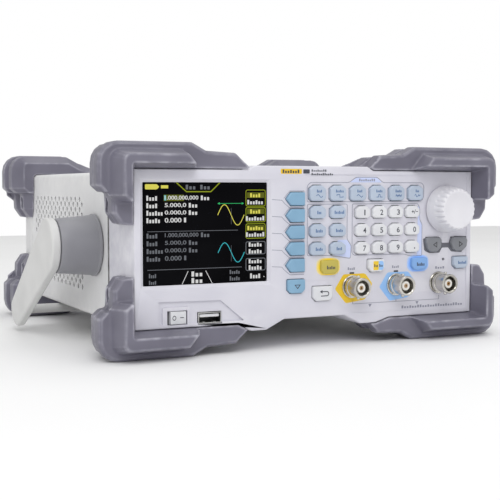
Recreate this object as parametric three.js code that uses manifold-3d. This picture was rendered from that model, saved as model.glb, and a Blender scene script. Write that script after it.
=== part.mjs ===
// A bench-top two-channel function generator: half-rack case, rubber corner bumpers, a swinging
// carry handle, a colour display, sprung keys, a dial, coaxial sockets and the parts inside.
// Millimetres, +Z up, +X to the right of the front panel, +Y towards the back.
// The origin is the centre of the footprint, on the surface that the bumpers stand on.
import * as THREE from 'three';
import { mergeVertices } from 'three/addons/utils/BufferGeometryUtils.js';
import Module from 'manifold-3d';

const wasm = await Module();
wasm.setup();

// Case. The front panel's face is at depth 0.
const panelWidth = 212.6;
const coverStandOut = 0.7;
const caseWidth = panelWidth + 2 * coverStandOut;
const caseBottom = 15.6;
const caseHeight = 81.4;
const caseDepth = 224;
const frontFrameDepth = 40;
const rearFrameDepth = 18;
const coverWall = 1.6;
const frameWall = 2.2;
const faceWall = 2.4;
const caseCornerRadius = 2.5;
const clearance = 0.35;

// Corner bumpers.
const bumperTopRise = 15;
const bumperHeight = caseBottom + caseHeight + bumperTopRise;
const bumperOverhang = 19;
const rearBumperOverhang = 16.5;
const rearTopDrop = 1.4;
const bumperCornerRadius = 11;
const bumperLegReach = 42.8;
const bumperThickReach = 22.5;
const bumperLip = 11;
const lipSideDraft = 3.6;
const lipTopDraft = 2.2;
const lipSideWidth = 13.5;
const lipTopWidth = 10.4;
const slotLength = 8.4;
const slotWidth = 4.4;
const slotDepth = 3.2;

// Keys. Each one is sprung and travels back into the panel.
const keyProud = 1.8;
const keyTravel = 1.2;
const keyFlange = 0.5;
const keyFlangeDepth = 1.4;
const keyToBoard = 3.65;
const digitPitchX = 11.32;
const digitPitchZ = 10.09;
const digitWidth = 9.35;
const digitHeight = 6.8;
const functionPitchX = 12.9;
const functionPitchZ = 10.1;
const functionWidth = 9.8;
const functionHeight = 7.1;
const waveformPitch = 13.04;
const waveformWidth = 10.1;
const waveformHeight = 8.6;
const softPitch = 9.07;
const softWidth = 11.5;
const softHeight = 7.2;

// Display.
const screenWidth = 71.1;
const screenHeight = 53.3;
const screenMargin = 5.1;
const screenTopMargin = 5.8;
const screenRecess = 1.4;
const screenBevel = 1.7;
const keypadRecess = 0.4;
const moduleRim = 1.5;
const moduleDepth = 5.4;

// Dial and sockets.
const dialRadius = 13.8;
const dialProud = 13.7;
const dialShaftRadius = 3;
const socketPitch = 29.8;
const socketRadius = 5.65;
const socketProud = 11.5;
const socketBore = 4.1;

// Power switch and serial socket.
const switchRecess = 1.2;
const rockerWidth = 9.2;
const rockerHeight = 6.7;
const rockerTilt = 8;
const usbWidth = 13.2;
const usbHeight = 5.9;

// Handle.
const hingeDepth = 64;
const hingeRise = caseHeight / 2;
const hubRadius = 17.5;
const hubEndRadius = 15.2;
const hubLength = 22.6;
const axleRadius = 5;
const armThickness = 5;
const armHalfWidth = 15.6;
const armTipHalfWidth = 10;
const armTipRadius = 6;
const armTipLowRadius = 13;
const gripHalfDepth = 2.5;
const gripHalfWidth = 2.9;
const gripReach = 92.7;
const gripRise = 4.4;
const gripGap = 0.4;
const gripDrop = hingeRise + gripHalfWidth + gripGap;

// Boards and rear fittings.
const boardThickness = 1.6;
const fanRadius = 27;
const inletWidth = 27;
const inletHeight = 20;
const inletCavityDepth = 16.5;
const inletPinLength = 11.3;

const arcSteps = 4;
const degree = Math.PI / 180;
const panelHalf = panelWidth / 2;
const caseHalf = caseWidth / 2;
const caseTop = caseBottom + caseHeight;
const panelTop = caseTop + 1;
const bumperMiddle = bumperHeight / 2;
const handleRestAngle = (
  Math.asin(gripDrop / Math.hypot(gripReach, gripRise)) + Math.atan(gripRise / gripReach)
) / degree;
const overallFront = -dialProud;
const overallBack = caseDepth + bumperLip;

// --- solids -----------------------------------------------------------------------------------

function solidOf(geometry) {
  geometry.deleteAttribute('normal');
  geometry.deleteAttribute('uv');
  const merged = mergeVertices(geometry, 1e-4);
  return new wasm.Manifold(new wasm.Mesh({
    numProp: 3,
    vertProperties: new Float32Array(merged.attributes.position.array),
    triVerts: new Uint32Array(merged.index.array),
  }));
}

function geometryOf(solid) {
  const mesh = solid.getMesh();
  const geometry = new THREE.BufferGeometry();
  geometry.setAttribute('position', new THREE.BufferAttribute(mesh.vertProperties, 3));
  geometry.setIndex(new THREE.BufferAttribute(mesh.triVerts, 1));
  geometry.computeVertexNormals();
  return geometry;
}

function joined(solids) {
  return solids.reduce((sum, solid) => sum.add(solid));
}

function cut(solid, tools) {
  return tools.reduce((rest, tool) => rest.subtract(tool), solid);
}

function outline(points) {
  return new THREE.Shape(points.map(([x, z]) => new THREE.Vector2(x, z)));
}

function roundedBox(left, right, bottom, top, radius) {
  const shape = new THREE.Shape();
  shape.moveTo(left + radius, bottom);
  shape.lineTo(right - radius, bottom);
  shape.absarc(right - radius, bottom + radius, radius, -Math.PI / 2, 0);
  shape.lineTo(right, top - radius);
  shape.absarc(right - radius, top - radius, radius, 0, Math.PI / 2);
  shape.lineTo(left + radius, top);
  shape.absarc(left + radius, top - radius, radius, Math.PI / 2, Math.PI);
  shape.lineTo(left, bottom + radius);
  shape.absarc(left + radius, bottom + radius, radius, Math.PI, Math.PI * 1.5);
  return shape;
}

// Extrudes an outline of x and z along y, between two depths.
function prism(shape, front, back, steps = arcSteps) {
  const geometry = new THREE.ExtrudeGeometry(shape, {
    depth: back - front, bevelEnabled: false, curveSegments: steps,
  });
  geometry.rotateX(Math.PI / 2);
  geometry.translate(0, back, 0);
  return solidOf(geometry);
}

function box(x0, x1, y0, y1, z0, z1) {
  const geometry = new THREE.BoxGeometry(x1 - x0, y1 - y0, z1 - z0);
  geometry.translate((x0 + x1) / 2, (y0 + y1) / 2, (z0 + z1) / 2);
  return solidOf(geometry);
}

// A round bar along y.
function rod(x, z, radius, front, back, sides = 20) {
  const geometry = new THREE.CylinderGeometry(radius, radius, back - front, sides);
  geometry.translate(x, (front + back) / 2, z);
  return solidOf(geometry);
}

// A solid of revolution about y from pairs of radius and depth, first and last on the axis.
function turned(profile, sides) {
  const points = profile.map(([radius, y]) => new THREE.Vector2(radius, y));
  return solidOf(new THREE.LatheGeometry(points, sides));
}

// --- panel layout: every opening and the piece in it share these entries ------------------------

// Key outlines are centred on the key.
const crowned = (w, h) => [
  [-w / 2, -h / 2 + 1.2], [-w / 2 + 1.5, -h / 2], [w / 2 - 1.5, -h / 2], [w / 2, -h / 2 + 1.2],
  [w / 2, h / 2 - 1.9], [w * 0.24, h / 2], [-w * 0.24, h / 2], [-w / 2, h / 2 - 1.9],
];
const chamfered = (w, h) => [
  [-w / 2, -h / 2 + 2], [-w / 2 + 2, -h / 2], [w / 2 - 2, -h / 2], [w / 2, -h / 2 + 2],
  [w / 2, h / 2 - 0.6], [w / 2 - 0.6, h / 2], [-w / 2 + 0.6, h / 2], [-w / 2, h / 2 - 0.6],
];
const pointedLeft = (w, h) => [
  [-w / 2, 0], [-w / 2 + 3, -h / 2], [w / 2, -h / 2], [w / 2, h / 2], [-w / 2 + 3, h / 2],
];
const pointedBothWays = (w, h) => [
  [-w / 2, h / 2 - 2.6], [-w / 2 + 1.5, -h / 2 + 1.4], [-w / 2 + 3.6, -h / 2], [w / 2 - 3.6, -h / 2],
  [w / 2 - 0.6, -h / 2 + 2.6], [w / 2, h / 2 - 1.6], [w / 2 - 1.4, h / 2], [-w / 2 + 1, h / 2],
];

const colour = {
  panel: 0xdadae2, cover: 0xeaeaea, bumper: 0x7f7d8a, soft: 0x86aecb, pale: 0xc5d2e3,
  white: 0xf3f2ef, arrow: 0x74767c, yellow: 0xe5cb3a, blue: 0x8fbcf2, arm: 0xe2e2de,
  hub: 0x919196, nickel: 0xb9b6ae, board: 0x2f6b46, black: 0x101114, dial: 0xececec,
};

function makeKeys() {
  const keys = [];
  const put = (name, shape, x, z, width, height, tint) => {
    keys.push({ name, shape: shape(width, height), x, z, tint });
  };
  for (let row = 0; row < 5; row += 1) {
    const z = 82.3 - row * softPitch;
    put(`soft_key_${row + 1}`, pointedLeft, -13.85, z, softWidth, softHeight, colour.soft);
  }
  put('page_key', chamfered, -13.3, 34.5, 10.8, 7.6, colour.soft);
  ['sine', 'square', 'ramp', 'pulse', 'noise', 'arbitrary'].forEach((wave, i) => {
    put(`${wave}_key`, crowned, i * waveformPitch, 85.4, waveformWidth, waveformHeight, colour.pale);
  });
  ['modulate', 'utility', 'sweep', 'store', 'burst', 'help'].forEach((task, i) => {
    const x = 0.2 + (i % 2) * functionPitchX;
    const z = 74.95 - Math.floor(i / 2) * functionPitchZ;
    put(`${task}_key`, crowned, x, z, functionWidth, functionHeight, colour.pale);
  });
  ['1', '2', '3', 'sign', '4', '5', '6', '0', '7', '8', '9', 'point'].forEach((digit, i) => {
    const x = 29.2 + (i % 4) * digitPitchX;
    const z = 74.7 - Math.floor(i / 4) * digitPitchZ;
    put(`digit_${digit}_key`, crowned, x, z, digitWidth, digitHeight, colour.white);
  });
  put('back_key', chamfered, 3.4, 29.85, 12.6, 8.1, colour.white);
  put('output_1_key', chamfered, 7.8, 44.4, 11.2, 7.6, colour.yellow);
  put('channel_key', chamfered, 38.5, 44.25, 10.6, 7.1, colour.white);
  put('output_2_key', chamfered, 68.2, 44.3, 11, 7, colour.blue);
  put('counter_key', chamfered, 97.8, 44.2, 10.4, 7, colour.pale);
  put('left_arrow_key', pointedBothWays, 78.35, 55.15, 11.3, 8.5, colour.arrow);
  put('right_arrow_key', pointedBothWays, 96.7, 55.15, 12, 8.1, colour.arrow);
  return keys;
}

const keys = makeKeys();
const dialAt = { x: 86.7, z: 76 };
const sockets = [0, 1, 2].map((i) => ({ x: 23.05 + i * socketPitch, z: 32.8 }));
const screen = {
  left: -panelHalf + screenMargin,
  right: -panelHalf + screenMargin + screenWidth,
  bottom: caseTop - screenTopMargin - screenHeight,
  top: caseTop - screenTopMargin,
};
const rockerAt = { x: -82.8, z: 20.95, y: switchRecess + 2.4 };
const usbAt = { x: -64.3, z: 20 };
const boardFront = faceWall + clearance + keyFlangeDepth + keyTravel + keyToBoard;
const fanAt = { x: -52, z: caseBottom + caseHeight / 2 };
const inletAt = { x: 66, z: caseBottom + 28 };
const hinge = { y: hingeDepth, z: caseBottom + hingeRise };

function grown(points, by) {
  const extent = points.reduce((size, [x, z]) => [Math.max(size[0], x), Math.max(size[1], z)], [0, 0]);
  return points.map(([x, z]) => [x * (1 + by / extent[0]), z * (1 + by / extent[1])]);
}

function shifted(points, dx, dz) {
  return points.map(([x, z]) => [x + dx, z + dz]);
}

// --- front panel ------------------------------------------------------------------------------

function panelOutline(inset) {
  const half = panelHalf - inset;
  const top = panelTop - inset;
  const low = caseBottom + inset;
  return outline([
    [-half, low], [-48, low], [-40, low - 4.1], [-31, low - 4.1], [-20, low + 1.2], [18, low + 1.2],
    [29, low - 4.1], [39, low - 4.1], [48, low - 1.4], [half, low - 1.4],
    [half, top], [37, top], [33, top + 2.2], [-38, top + 2.2], [-42, top], [-half, top],
  ]);
}

function frontPanel() {
  const shell = prism(panelOutline(0), 0, frontFrameDepth);
  const hollow = prism(panelOutline(frameWall), faceWall, frontFrameDepth + 1);
  const switchBay = prism(outline([
    [-93.3, caseBottom + 2], [-93.3, caseBottom + 14.1], [-58.3, caseBottom + 13.5],
    [-44.5, caseBottom + 2],
  ]), -1, switchRecess);
  const switchFrame = prism(roundedBox(-91, -75.8, caseBottom + 0.6, caseBottom + 10.9, 1), 0.3, 1.6);
  const openings = [
    prism(roundedBox(screen.left, screen.right, screen.bottom, screen.top, 0.6), -1, faceWall + 1),
    box(
      rockerAt.x - rockerWidth / 2 - 1, rockerAt.x + rockerWidth / 2 + 1, -1, boardFront + 1,
      rockerAt.z - rockerHeight / 2 - clearance, rockerAt.z + rockerHeight / 2 + clearance,
    ),
    box(
      usbAt.x - usbWidth / 2 - clearance, usbAt.x + usbWidth / 2 + clearance, -1, boardFront + 1,
      usbAt.z - usbHeight / 2 - clearance, usbAt.z + usbHeight / 2 + clearance,
    ),
    rod(dialAt.x, dialAt.z, dialShaftRadius + clearance, -1, faceWall + 1),
    ...sockets.map(({ x, z }) => rod(x, z, socketRadius + clearance, -1, faceWall + 1, 24)),
    ...keys.map(({ shape, x, z }) => (
      prism(outline(shifted(grown(shape, clearance), x, z)), -1, faceWall + 1)
    )),
  ];
  const keypad = prism(outline([
    [-7.2, screen.bottom - 0.7], [5.8, screen.bottom - 1.4], [11.4, screen.bottom - 5.9],
    [11.6, screen.bottom - 12.9], [22.4, screen.bottom - 20.2], [panelHalf - 3.4, caseBottom + 1.4],
    [panelHalf - 3.4, caseTop - 1.3], [-7.2, caseTop - 1.3],
  ]), -1, keypadRecess);
  return cut(cut(shell, [hollow, switchBay, keypad, screenSurround()]).add(switchFrame), openings);
}

// The slanted surround that falls from the panel's face to the display window.
function screenSurround() {
  const geometry = new THREE.ExtrudeGeometry(
    roundedBox(screen.left, screen.right, screen.bottom, screen.top, 0.6),
    { depth: 1, steps: 1, bevelEnabled: false, curveSegments: arcSteps },
  );
  const place = geometry.attributes.position;
  const middle = [(screen.left + screen.right) / 2, (screen.bottom + screen.top) / 2];
  for (let i = 0; i < place.count; i += 1) {
    const front = place.getZ(i) > 0.5;
    const wider = front ? 1 + (screenBevel * 2) / screenWidth : 1;
    const taller = front ? 1 + (screenBevel * 2) / screenHeight : 1;
    place.setXYZ(
      i,
      middle[0] + (place.getX(i) - middle[0]) * wider,
      front ? -0.01 : screenRecess,
      middle[1] + (place.getY(i) - middle[1]) * taller,
    );
  }
  return solidOf(geometry);
}

function displayModule() {
  const glass = prism(roundedBox(
    screen.left + clearance, screen.right - clearance,
    screen.bottom + clearance, screen.top - clearance, 0.6,
  ), screenRecess, faceWall + clearance + 1);
  const back = box(
    screen.left - moduleRim, screen.right + moduleRim, faceWall + clearance,
    faceWall + clearance + moduleDepth, screen.bottom - moduleRim, screen.top + moduleRim,
  );
  return glass.add(back);
}

function keyCap({ shape }) {
  const flangeFront = faceWall + clearance;
  const cap = prism(outline(shape), -keyProud, flangeFront + keyFlangeDepth);
  const flange = prism(outline(grown(shape, keyFlange)), flangeFront, flangeFront + keyFlangeDepth);
  return cap.add(flange);
}

function dialKnob() {
  const back = -0.6;
  return turned([
    [0, -dialProud], [dialRadius - 2.9, -dialProud], [dialRadius - 1.9, -dialProud + 0.9],
    [dialRadius - 1.2, -dialProud + 4], [dialRadius, back - 1], [dialRadius, back],
    [dialShaftRadius, back], [dialShaftRadius, boardFront - 1.6], [0, boardFront - 1.6],
  ], 32);
}

function coaxialSockets() {
  const plateFront = faceWall + clearance;
  const first = sockets[0];
  const last = sockets[sockets.length - 1];
  const strap = box(first.x - 9, last.x + 9, plateFront, plateFront + 1.4, first.z - 6.2, first.z + 6);
  const barrels = sockets.flatMap(({ x, z }) => [
    rod(x, z, socketRadius, -socketProud, plateFront + 0.7, 24),
    box(x - 1, x + 1, -socketProud + 4, -socketProud + 6, z - socketRadius - 1, z + socketRadius + 1),
    rod(x, z, 2, plateFront + 0.7, boardFront - 0.7, 8),
  ]);
  const bores = sockets.map(({ x, z }) => rod(x, z, socketBore, -socketProud - 1, -2, 24));
  const pins = sockets.map(({ x, z }) => rod(x, z, 1.6, -socketProud + 1.5, -1.5, 12));
  return joined([cut(joined([strap, ...barrels]), bores), ...pins]);
}

function frontBoard() {
  const back = boardFront + boardThickness;
  const plate = box(
    -panelHalf + frameWall + 3, panelHalf - frameWall - 3, boardFront, back,
    caseBottom + frameWall + 2, caseTop - frameWall - 2,
  );
  const shellBox = box(
    usbAt.x - usbWidth / 2, usbAt.x + usbWidth / 2, 0.5, boardFront + 0.5,
    usbAt.z - usbHeight / 2, usbAt.z + usbHeight / 2,
  );
  const shellSpace = box(
    usbAt.x - usbWidth / 2 + 0.5, usbAt.x + usbWidth / 2 - 0.5, -0.5, boardFront - 1,
    usbAt.z - usbHeight / 2 + 0.5, usbAt.z + usbHeight / 2 - 0.5,
  );
  const tongue = box(
    usbAt.x - usbWidth / 2 + 1, usbAt.x + usbWidth / 2 - 1, 1.2, boardFront - 0.5,
    usbAt.z + 0.4, usbAt.z + 2,
  );
  const encoder = box(
    dialAt.x - 6, dialAt.x + 6, boardFront - 1.3, boardFront + 0.5, dialAt.z - 6, dialAt.z + 6,
  );
  return joined([plate, shellBox.subtract(shellSpace), tongue, encoder]);
}

// A switch rocker that tilts about an upright pin; its shape is drawn flat in x and y.
function powerRocker() {
  const half = rockerWidth / 2;
  const shape = outline([
    [-half, -3.8], [-half + 0.8, 2.2], [half - 0.8, 2.2], [half, -3.8], [0, -2.9],
  ]);
  const geometry = new THREE.ExtrudeGeometry(shape, { depth: rockerHeight, bevelEnabled: false });
  geometry.translate(0, 0, -rockerHeight / 2);
  return solidOf(geometry);
}

// --- case -------------------------------------------------------------------------------------

function coverShell() {
  const front = frontFrameDepth + clearance;
  const back = caseDepth - rearFrameDepth - clearance;
  const shape = roundedBox(-caseHalf, caseHalf, caseBottom, caseTop, caseCornerRadius);
  shape.holes.push(roundedBox(
    -caseHalf + coverWall, caseHalf - coverWall, caseBottom + coverWall, caseTop - coverWall, 1,
  ));
  const hole = new THREE.CylinderGeometry(axleRadius + clearance, axleRadius + clearance, caseWidth + 4, 20);
  hole.rotateZ(Math.PI / 2);
  hole.translate(0, hinge.y, hinge.z);
  return prism(shape, front, back).subtract(solidOf(hole));
}

function rearPanel() {
  const front = caseDepth - rearFrameDepth;
  const inner = caseDepth - faceWall;
  const shell = prism(
    roundedBox(-caseHalf, caseHalf, caseBottom, caseTop, caseCornerRadius), front, caseDepth,
  );
  const hollow = prism(roundedBox(
    -caseHalf + frameWall, caseHalf - frameWall, caseBottom + frameWall, caseTop - frameWall, 1,
  ), front - 1, inner);
  const ring = rod(fanAt.x, fanAt.z, fanRadius + 3.5, front + 3, inner + 0.5, 36);
  const ringSpace = rod(fanAt.x, fanAt.z, fanRadius + 1.5, front + 2, inner, 36);
  const bearing = rod(fanAt.x, fanAt.z, 7, inner - 2, inner + 0.5, 16);
  const bearingHole = rod(fanAt.x, fanAt.z, 1.6, inner - 3, inner + 0.6, 12);
  const slots = [];
  for (let x = -21; x <= 21; x += 6) {
    const reach = Math.sqrt((fanRadius - 2) ** 2 - x ** 2);
    const gap = Math.abs(x) < 8 ? 9 : 0;
    slots.push(box(fanAt.x + x - 1.6, fanAt.x + x + 1.6, inner - 1, caseDepth + 1,
      fanAt.z + (gap || -reach), fanAt.z + reach));
    if (gap) {
      slots.push(box(fanAt.x + x - 1.6, fanAt.x + x + 1.6, inner - 1, caseDepth + 1,
        fanAt.z - reach, fanAt.z - gap));
    }
  }
  const inletHole = box(
    inletAt.x - inletWidth / 2 - clearance, inletAt.x + inletWidth / 2 + clearance, inner - 1, caseDepth + 1,
    inletAt.z - inletHeight / 2 - clearance, inletAt.z + inletHeight / 2 + clearance,
  );
  const rearSockets = [0, 1, 2].map((i) => rod(2 + i * 20, caseTop - 17, 4.8, inner, caseDepth + 5, 20));
  const body = joined([
    cut(shell, [hollow]), ring.subtract(ringSpace), bearing, ...rearSockets,
  ]);
  return cut(body, [...slots, inletHole, bearingHole]);
}

function mainsInlet() {
  const face = caseDepth + 2.6;
  const body = box(
    inletAt.x - inletWidth / 2, inletAt.x + inletWidth / 2, caseDepth - 18, face,
    inletAt.z - inletHeight / 2, inletAt.z + inletHeight / 2,
  );
  const flange = box(
    inletAt.x - inletWidth / 2 - 2, inletAt.x + inletWidth / 2 + 2, caseDepth + clearance, face,
    inletAt.z - inletHeight / 2 - 1.5, inletAt.z + inletHeight / 2 + 1.5,
  );
  const w = inletWidth / 2 - 1.5;
  const h = inletHeight / 2 - 1.6;
  const cavity = prism(outline([
    [-w, -h], [w, -h], [w, h - 4], [w - 4, h], [-w + 4, h], [-w, h - 4],
  ].map(([x, z]) => [inletAt.x + x, inletAt.z + z])), face - inletCavityDepth, face + 1);
  const pinBack = face - inletCavityDepth - 0.5;
  const pins = [[-7, -2], [0, 2], [7, -2]].map(([dx, dz]) => box(
    inletAt.x + dx - 1, inletAt.x + dx + 1, pinBack, pinBack + inletPinLength,
    inletAt.z + dz - 2, inletAt.z + dz + 2,
  ));
  return joined([body.add(flange).subtract(cavity), ...pins]);
}

function fanRotor() {
  const back = caseDepth - faceWall - 2 - clearance;
  const hub = rod(0, 0, 10, back - 9, back, 24);
  const axle = rod(0, 0, 1.2, back - 1, caseDepth - faceWall + 0.2, 12);
  const blades = [];
  for (let i = 0; i < 7; i += 1) {
    const blade = new THREE.BoxGeometry(fanRadius - 9.5, 1.2, 9);
    blade.rotateX(42 * degree);
    blade.translate(9.5 + (fanRadius - 9.5) / 2, back - 4.5, 0);
    blade.rotateY((i * 360 / 7) * degree);
    blades.push(solidOf(blade));
  }
  return joined([hub, axle, ...blades]);
}

// --- boards inside ----------------------------------------------------------------------------

function boardOnPosts(x0, x1, y0, y1, blocks) {
  const floor = caseBottom + coverWall + clearance;
  const bottom = floor + 5;
  const top = bottom + boardThickness;
  const plate = box(x0, x1, y0, y1, bottom, top);
  const posts = [[x0 + 5, y0 + 5], [x1 - 5, y0 + 5], [x0 + 5, y1 - 5], [x1 - 5, y1 - 5]].map(([x, y]) => {
    const post = new THREE.CylinderGeometry(2.5, 2.5, bottom - floor + 0.5, 12);
    post.rotateX(Math.PI / 2);
    post.translate(x, y, (floor + bottom + 0.5) / 2);
    return solidOf(post);
  });
  const parts = blocks.map(([bx, by, w, d, h]) => (
    box(x0 + bx, x0 + bx + w, y0 + by, y0 + by + d, top - 0.4, top + h)
  ));
  return joined([plate, ...posts, ...parts]);
}

function mainBoard() {
  const back = caseDepth - rearFrameDepth - 10;
  return boardOnPosts(-caseHalf + 10, 34, frontFrameDepth + 8, back, [
    [20, 20, 24, 24, 2.4], [60, 24, 30, 30, 8], [104, 12, 16, 60, 12],
    [24, 70, 40, 26, 6], [84, 88, 28, 28, 3], [12, 110, 20, 20, 14],
  ]);
}

function powerSupply() {
  const back = caseDepth - rearFrameDepth - 10;
  return boardOnPosts(42, caseHalf - 9, back - 104, back, [
    [8, 10, 30, 32, 30], [10, 52, 14, 14, 28], [30, 50, 4, 40, 26],
    [38, 50, 10, 40, 12], [12, 74, 12, 18, 18],
  ]);
}

// --- bumpers ----------------------------------------------------------------------------------

// Each ring: depth from the panel face, then how far its side and its top stand in from the
// full outline. The body has two ridges with a groove between them; the lip stands proud in front.
const ridgeRings = [
  [-0.6, 1.6, 1.6], [0.4, 0.4, 0.4], [1.6, 0, 0], [7.2, 0, 0], [9.2, 4.4, 2.8],
  [11.4, 4.8, 2.8], [13.2, 1.8, 0.8], [20, 2.2, 0.8], [26, 9.5, 5.5],
];
const lipRings = [
  [-bumperLip, 5.6, 3.6], [-bumperLip + 1, 4.6, 2.8], [-bumperLip * 0.4, 2.2, 1.4], [0.5, 0, 0],
];

function cornerArc(centreU, centreV, radius) {
  const points = [];
  for (let i = 0; i <= arcSteps; i += 1) {
    const turn = (90 - (i * 90) / arcSteps) * degree;
    points.push([centreU + radius * Math.cos(turn), centreV + radius * Math.sin(turn)]);
  }
  return points;
}

// Outlines of one corner: u is the distance out from the middle plane, v up from half height.
function ridgeOutline({ halfWidth, halfTop, thickEnd, tongueEnd, faceHalf, faceTop }) {
  const r = bumperCornerRadius;
  return [
    [tongueEnd, 25], [tongueEnd, faceTop + 0.6], [tongueEnd + 7, halfTop - 5.2],
    [thickEnd - 8, halfTop - 4.3], [thickEnd, halfTop],
    ...cornerArc(halfWidth - r, halfTop - r, r),
    [halfWidth, halfTop - bumperThickReach], [halfWidth - 3.8, halfTop - bumperThickReach - 3.2],
    [halfWidth - 7.4, halfTop - bumperThickReach - 3.6], [halfWidth - 8, halfTop - bumperLegReach + 6.4],
    [halfWidth - 12, halfTop - bumperLegReach + 0.6], [faceHalf + 0.5, halfTop - bumperLegReach],
    [85, halfTop - bumperLegReach], [85, 25],
  ];
}

function lipOutline({ halfTop, thickEnd, faceHalf, faceTop }) {
  const outU = faceHalf + lipSideWidth;
  const outV = faceTop + lipTopWidth;
  const low = halfTop - bumperThickReach - 8;
  return [
    [thickEnd - 2, 24.9], [thickEnd - 2, faceTop + 1], [thickEnd + 6, outV],
    ...cornerArc(outU - 7, outV - 7, 7),
    [outU, low + 3], [outU - 4, low], [85, low - 1.5], [85, 24.9],
  ];
}

// A corner outline swept through its rings.
function sweptCorner(points, rings, side, up, rear) {
  const last = rings.length - 1;
  const geometry = new THREE.ExtrudeGeometry(
    outline(points.map(([u, v]) => [side * u, up * v])),
    { depth: last, steps: last, bevelEnabled: false },
  );
  const arcU = Math.max(...points.map(([u]) => u));
  const arcV = Math.max(...points.map(([, v]) => v));
  const radius = points.some(([u]) => u === arcU) ? bumperCornerRadius : 0;
  const place = geometry.attributes.position;
  for (let i = 0; i < place.count; i += 1) {
    const layer = Math.round(place.getZ(i));
    const [depth, sideInset, topInset] = rings[rear ? layer : last - layer];
    let u = place.getX(i) * side;
    let v = place.getY(i) * up;
    const buried = u < 85.01 && v < 25.01;
    if (!buried) {
      const du = Math.max(u - (arcU - radius), 0);
      const dv = Math.max(v - (arcV - radius), 0);
      const onTop = dv > 0.01;
      const angle = du > 0.01 && onTop ? Math.atan2(dv, du) : Number(onTop) * Math.PI / 2;
      u -= sideInset * Math.cos(angle);
      v -= topInset * Math.sin(angle);
    }
    place.setXYZ(i, side * u, rear ? caseDepth - depth : depth, bumperMiddle + up * v);
  }
  return solidOf(geometry);
}

// The space that the case and the view of its face take out of a bumper: straight behind the
// face, and opening outwards in front of it.
function faceSpace(shape, rear) {
  const length = bumperLip + 2;
  const geometry = new THREE.ExtrudeGeometry(shape, {
    depth: 1, steps: 1, bevelEnabled: false, curveSegments: arcSteps,
  });
  const place = geometry.attributes.position;
  const middle = caseBottom + caseHeight / 2;
  const widen = 1 + (lipSideDraft * length) / bumperLip / panelHalf;
  const raise = 1 + (lipTopDraft * length) / bumperLip / (caseHeight / 2);
  for (let i = 0; i < place.count; i += 1) {
    const atMouth = place.getZ(i) > 0.5 ? !rear : rear;
    const depth = atMouth ? -length : 0;
    place.setXYZ(
      i,
      place.getX(i) * (atMouth ? widen : 1),
      rear ? caseDepth - depth : depth,
      middle + (place.getY(i) - middle) * (atMouth ? raise : 1),
    );
  }
  const straight = rear ? prism(shape, caseDepth - 60, caseDepth) : prism(shape, 0, 60);
  return solidOf(geometry).add(straight);
}

function bumper({ side, up, rear, thickEnd, tongueEnd }) {
  const size = {
    halfWidth: rear ? caseHalf + rearBumperOverhang : panelHalf + bumperOverhang,
    halfTop: bumperMiddle - (rear && up > 0 ? rearTopDrop : 0),
    faceHalf: rear ? caseHalf : panelHalf,
    faceTop: (rear ? caseTop : panelTop) - bumperMiddle,
    thickEnd,
    tongueEnd,
  };
  const ridge = sweptCorner(ridgeOutline(size), ridgeRings, side, up, rear);
  const lip = sweptCorner(lipOutline(size), lipRings, side, up, rear);
  const space = rear
    ? faceSpace(roundedBox(-caseHalf - clearance, caseHalf + clearance, caseBottom - clearance,
      caseTop + clearance, caseCornerRadius), true)
    : faceSpace(panelOutline(-clearance), false);
  const slot = new THREE.ExtrudeGeometry(
    roundedBox(-slotWidth / 2, slotWidth / 2, -slotLength / 2, slotLength / 2, slotWidth / 2 - 0.01),
    { depth: 20, bevelEnabled: false, curveSegments: 3 },
  );
  slot.rotateX(Math.PI / 2);
  slot.rotateZ(Math.PI / 2);
  slot.rotateX(-side * up * 12 * degree);
  const floorOfSlot = size.halfWidth - 8 - 3.9 - slotDepth;
  slot.translate(side > 0 ? floorOfSlot : -floorOfSlot - 20, rear ? caseDepth - 16.5 : 16.5,
    bumperMiddle + up * (size.halfTop - bumperLegReach + 10.2));
  return cut(ridge.add(lip), [space, solidOf(slot)]);
}

const bumpers = [];
for (const [sideName, side] of [['left', -1], ['right', 1]]) {
  for (const [levelName, up] of [['top', 1], ['bottom', -1]]) {
    bumpers.push({
      name: `front_${sideName}_${levelName}_bumper`, side, up, rear: false,
      thickEnd: panelHalf - (side < 0 ? 32.3 : 41.8), tongueEnd: panelHalf - (side < 0 ? 64.3 : 72.3),
    });
    bumpers.push({
      name: `rear_${sideName}_${levelName}_bumper`, side, up, rear: true,
      thickEnd: caseHalf - 24, tongueEnd: caseHalf - 42,
    });
  }
}

// --- handle: drawn about its hinge line with the arms along y -----------------------------------

function handleHub(side) {
  const inner = caseHalf + clearance;
  const hub = new THREE.LatheGeometry([
    [0, inner - 8], [axleRadius, inner - 8], [axleRadius, inner], [hubRadius, inner],
    [hubRadius, inner + 1.5], [hubRadius - 0.5, inner + 2], [hubEndRadius, inner + hubLength],
    [0, inner + hubLength],
  ].map(([radius, along]) => new THREE.Vector2(radius, along)), 36);
  hub.rotateZ(-side * Math.PI / 2);
  return solidOf(hub);
}

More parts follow.
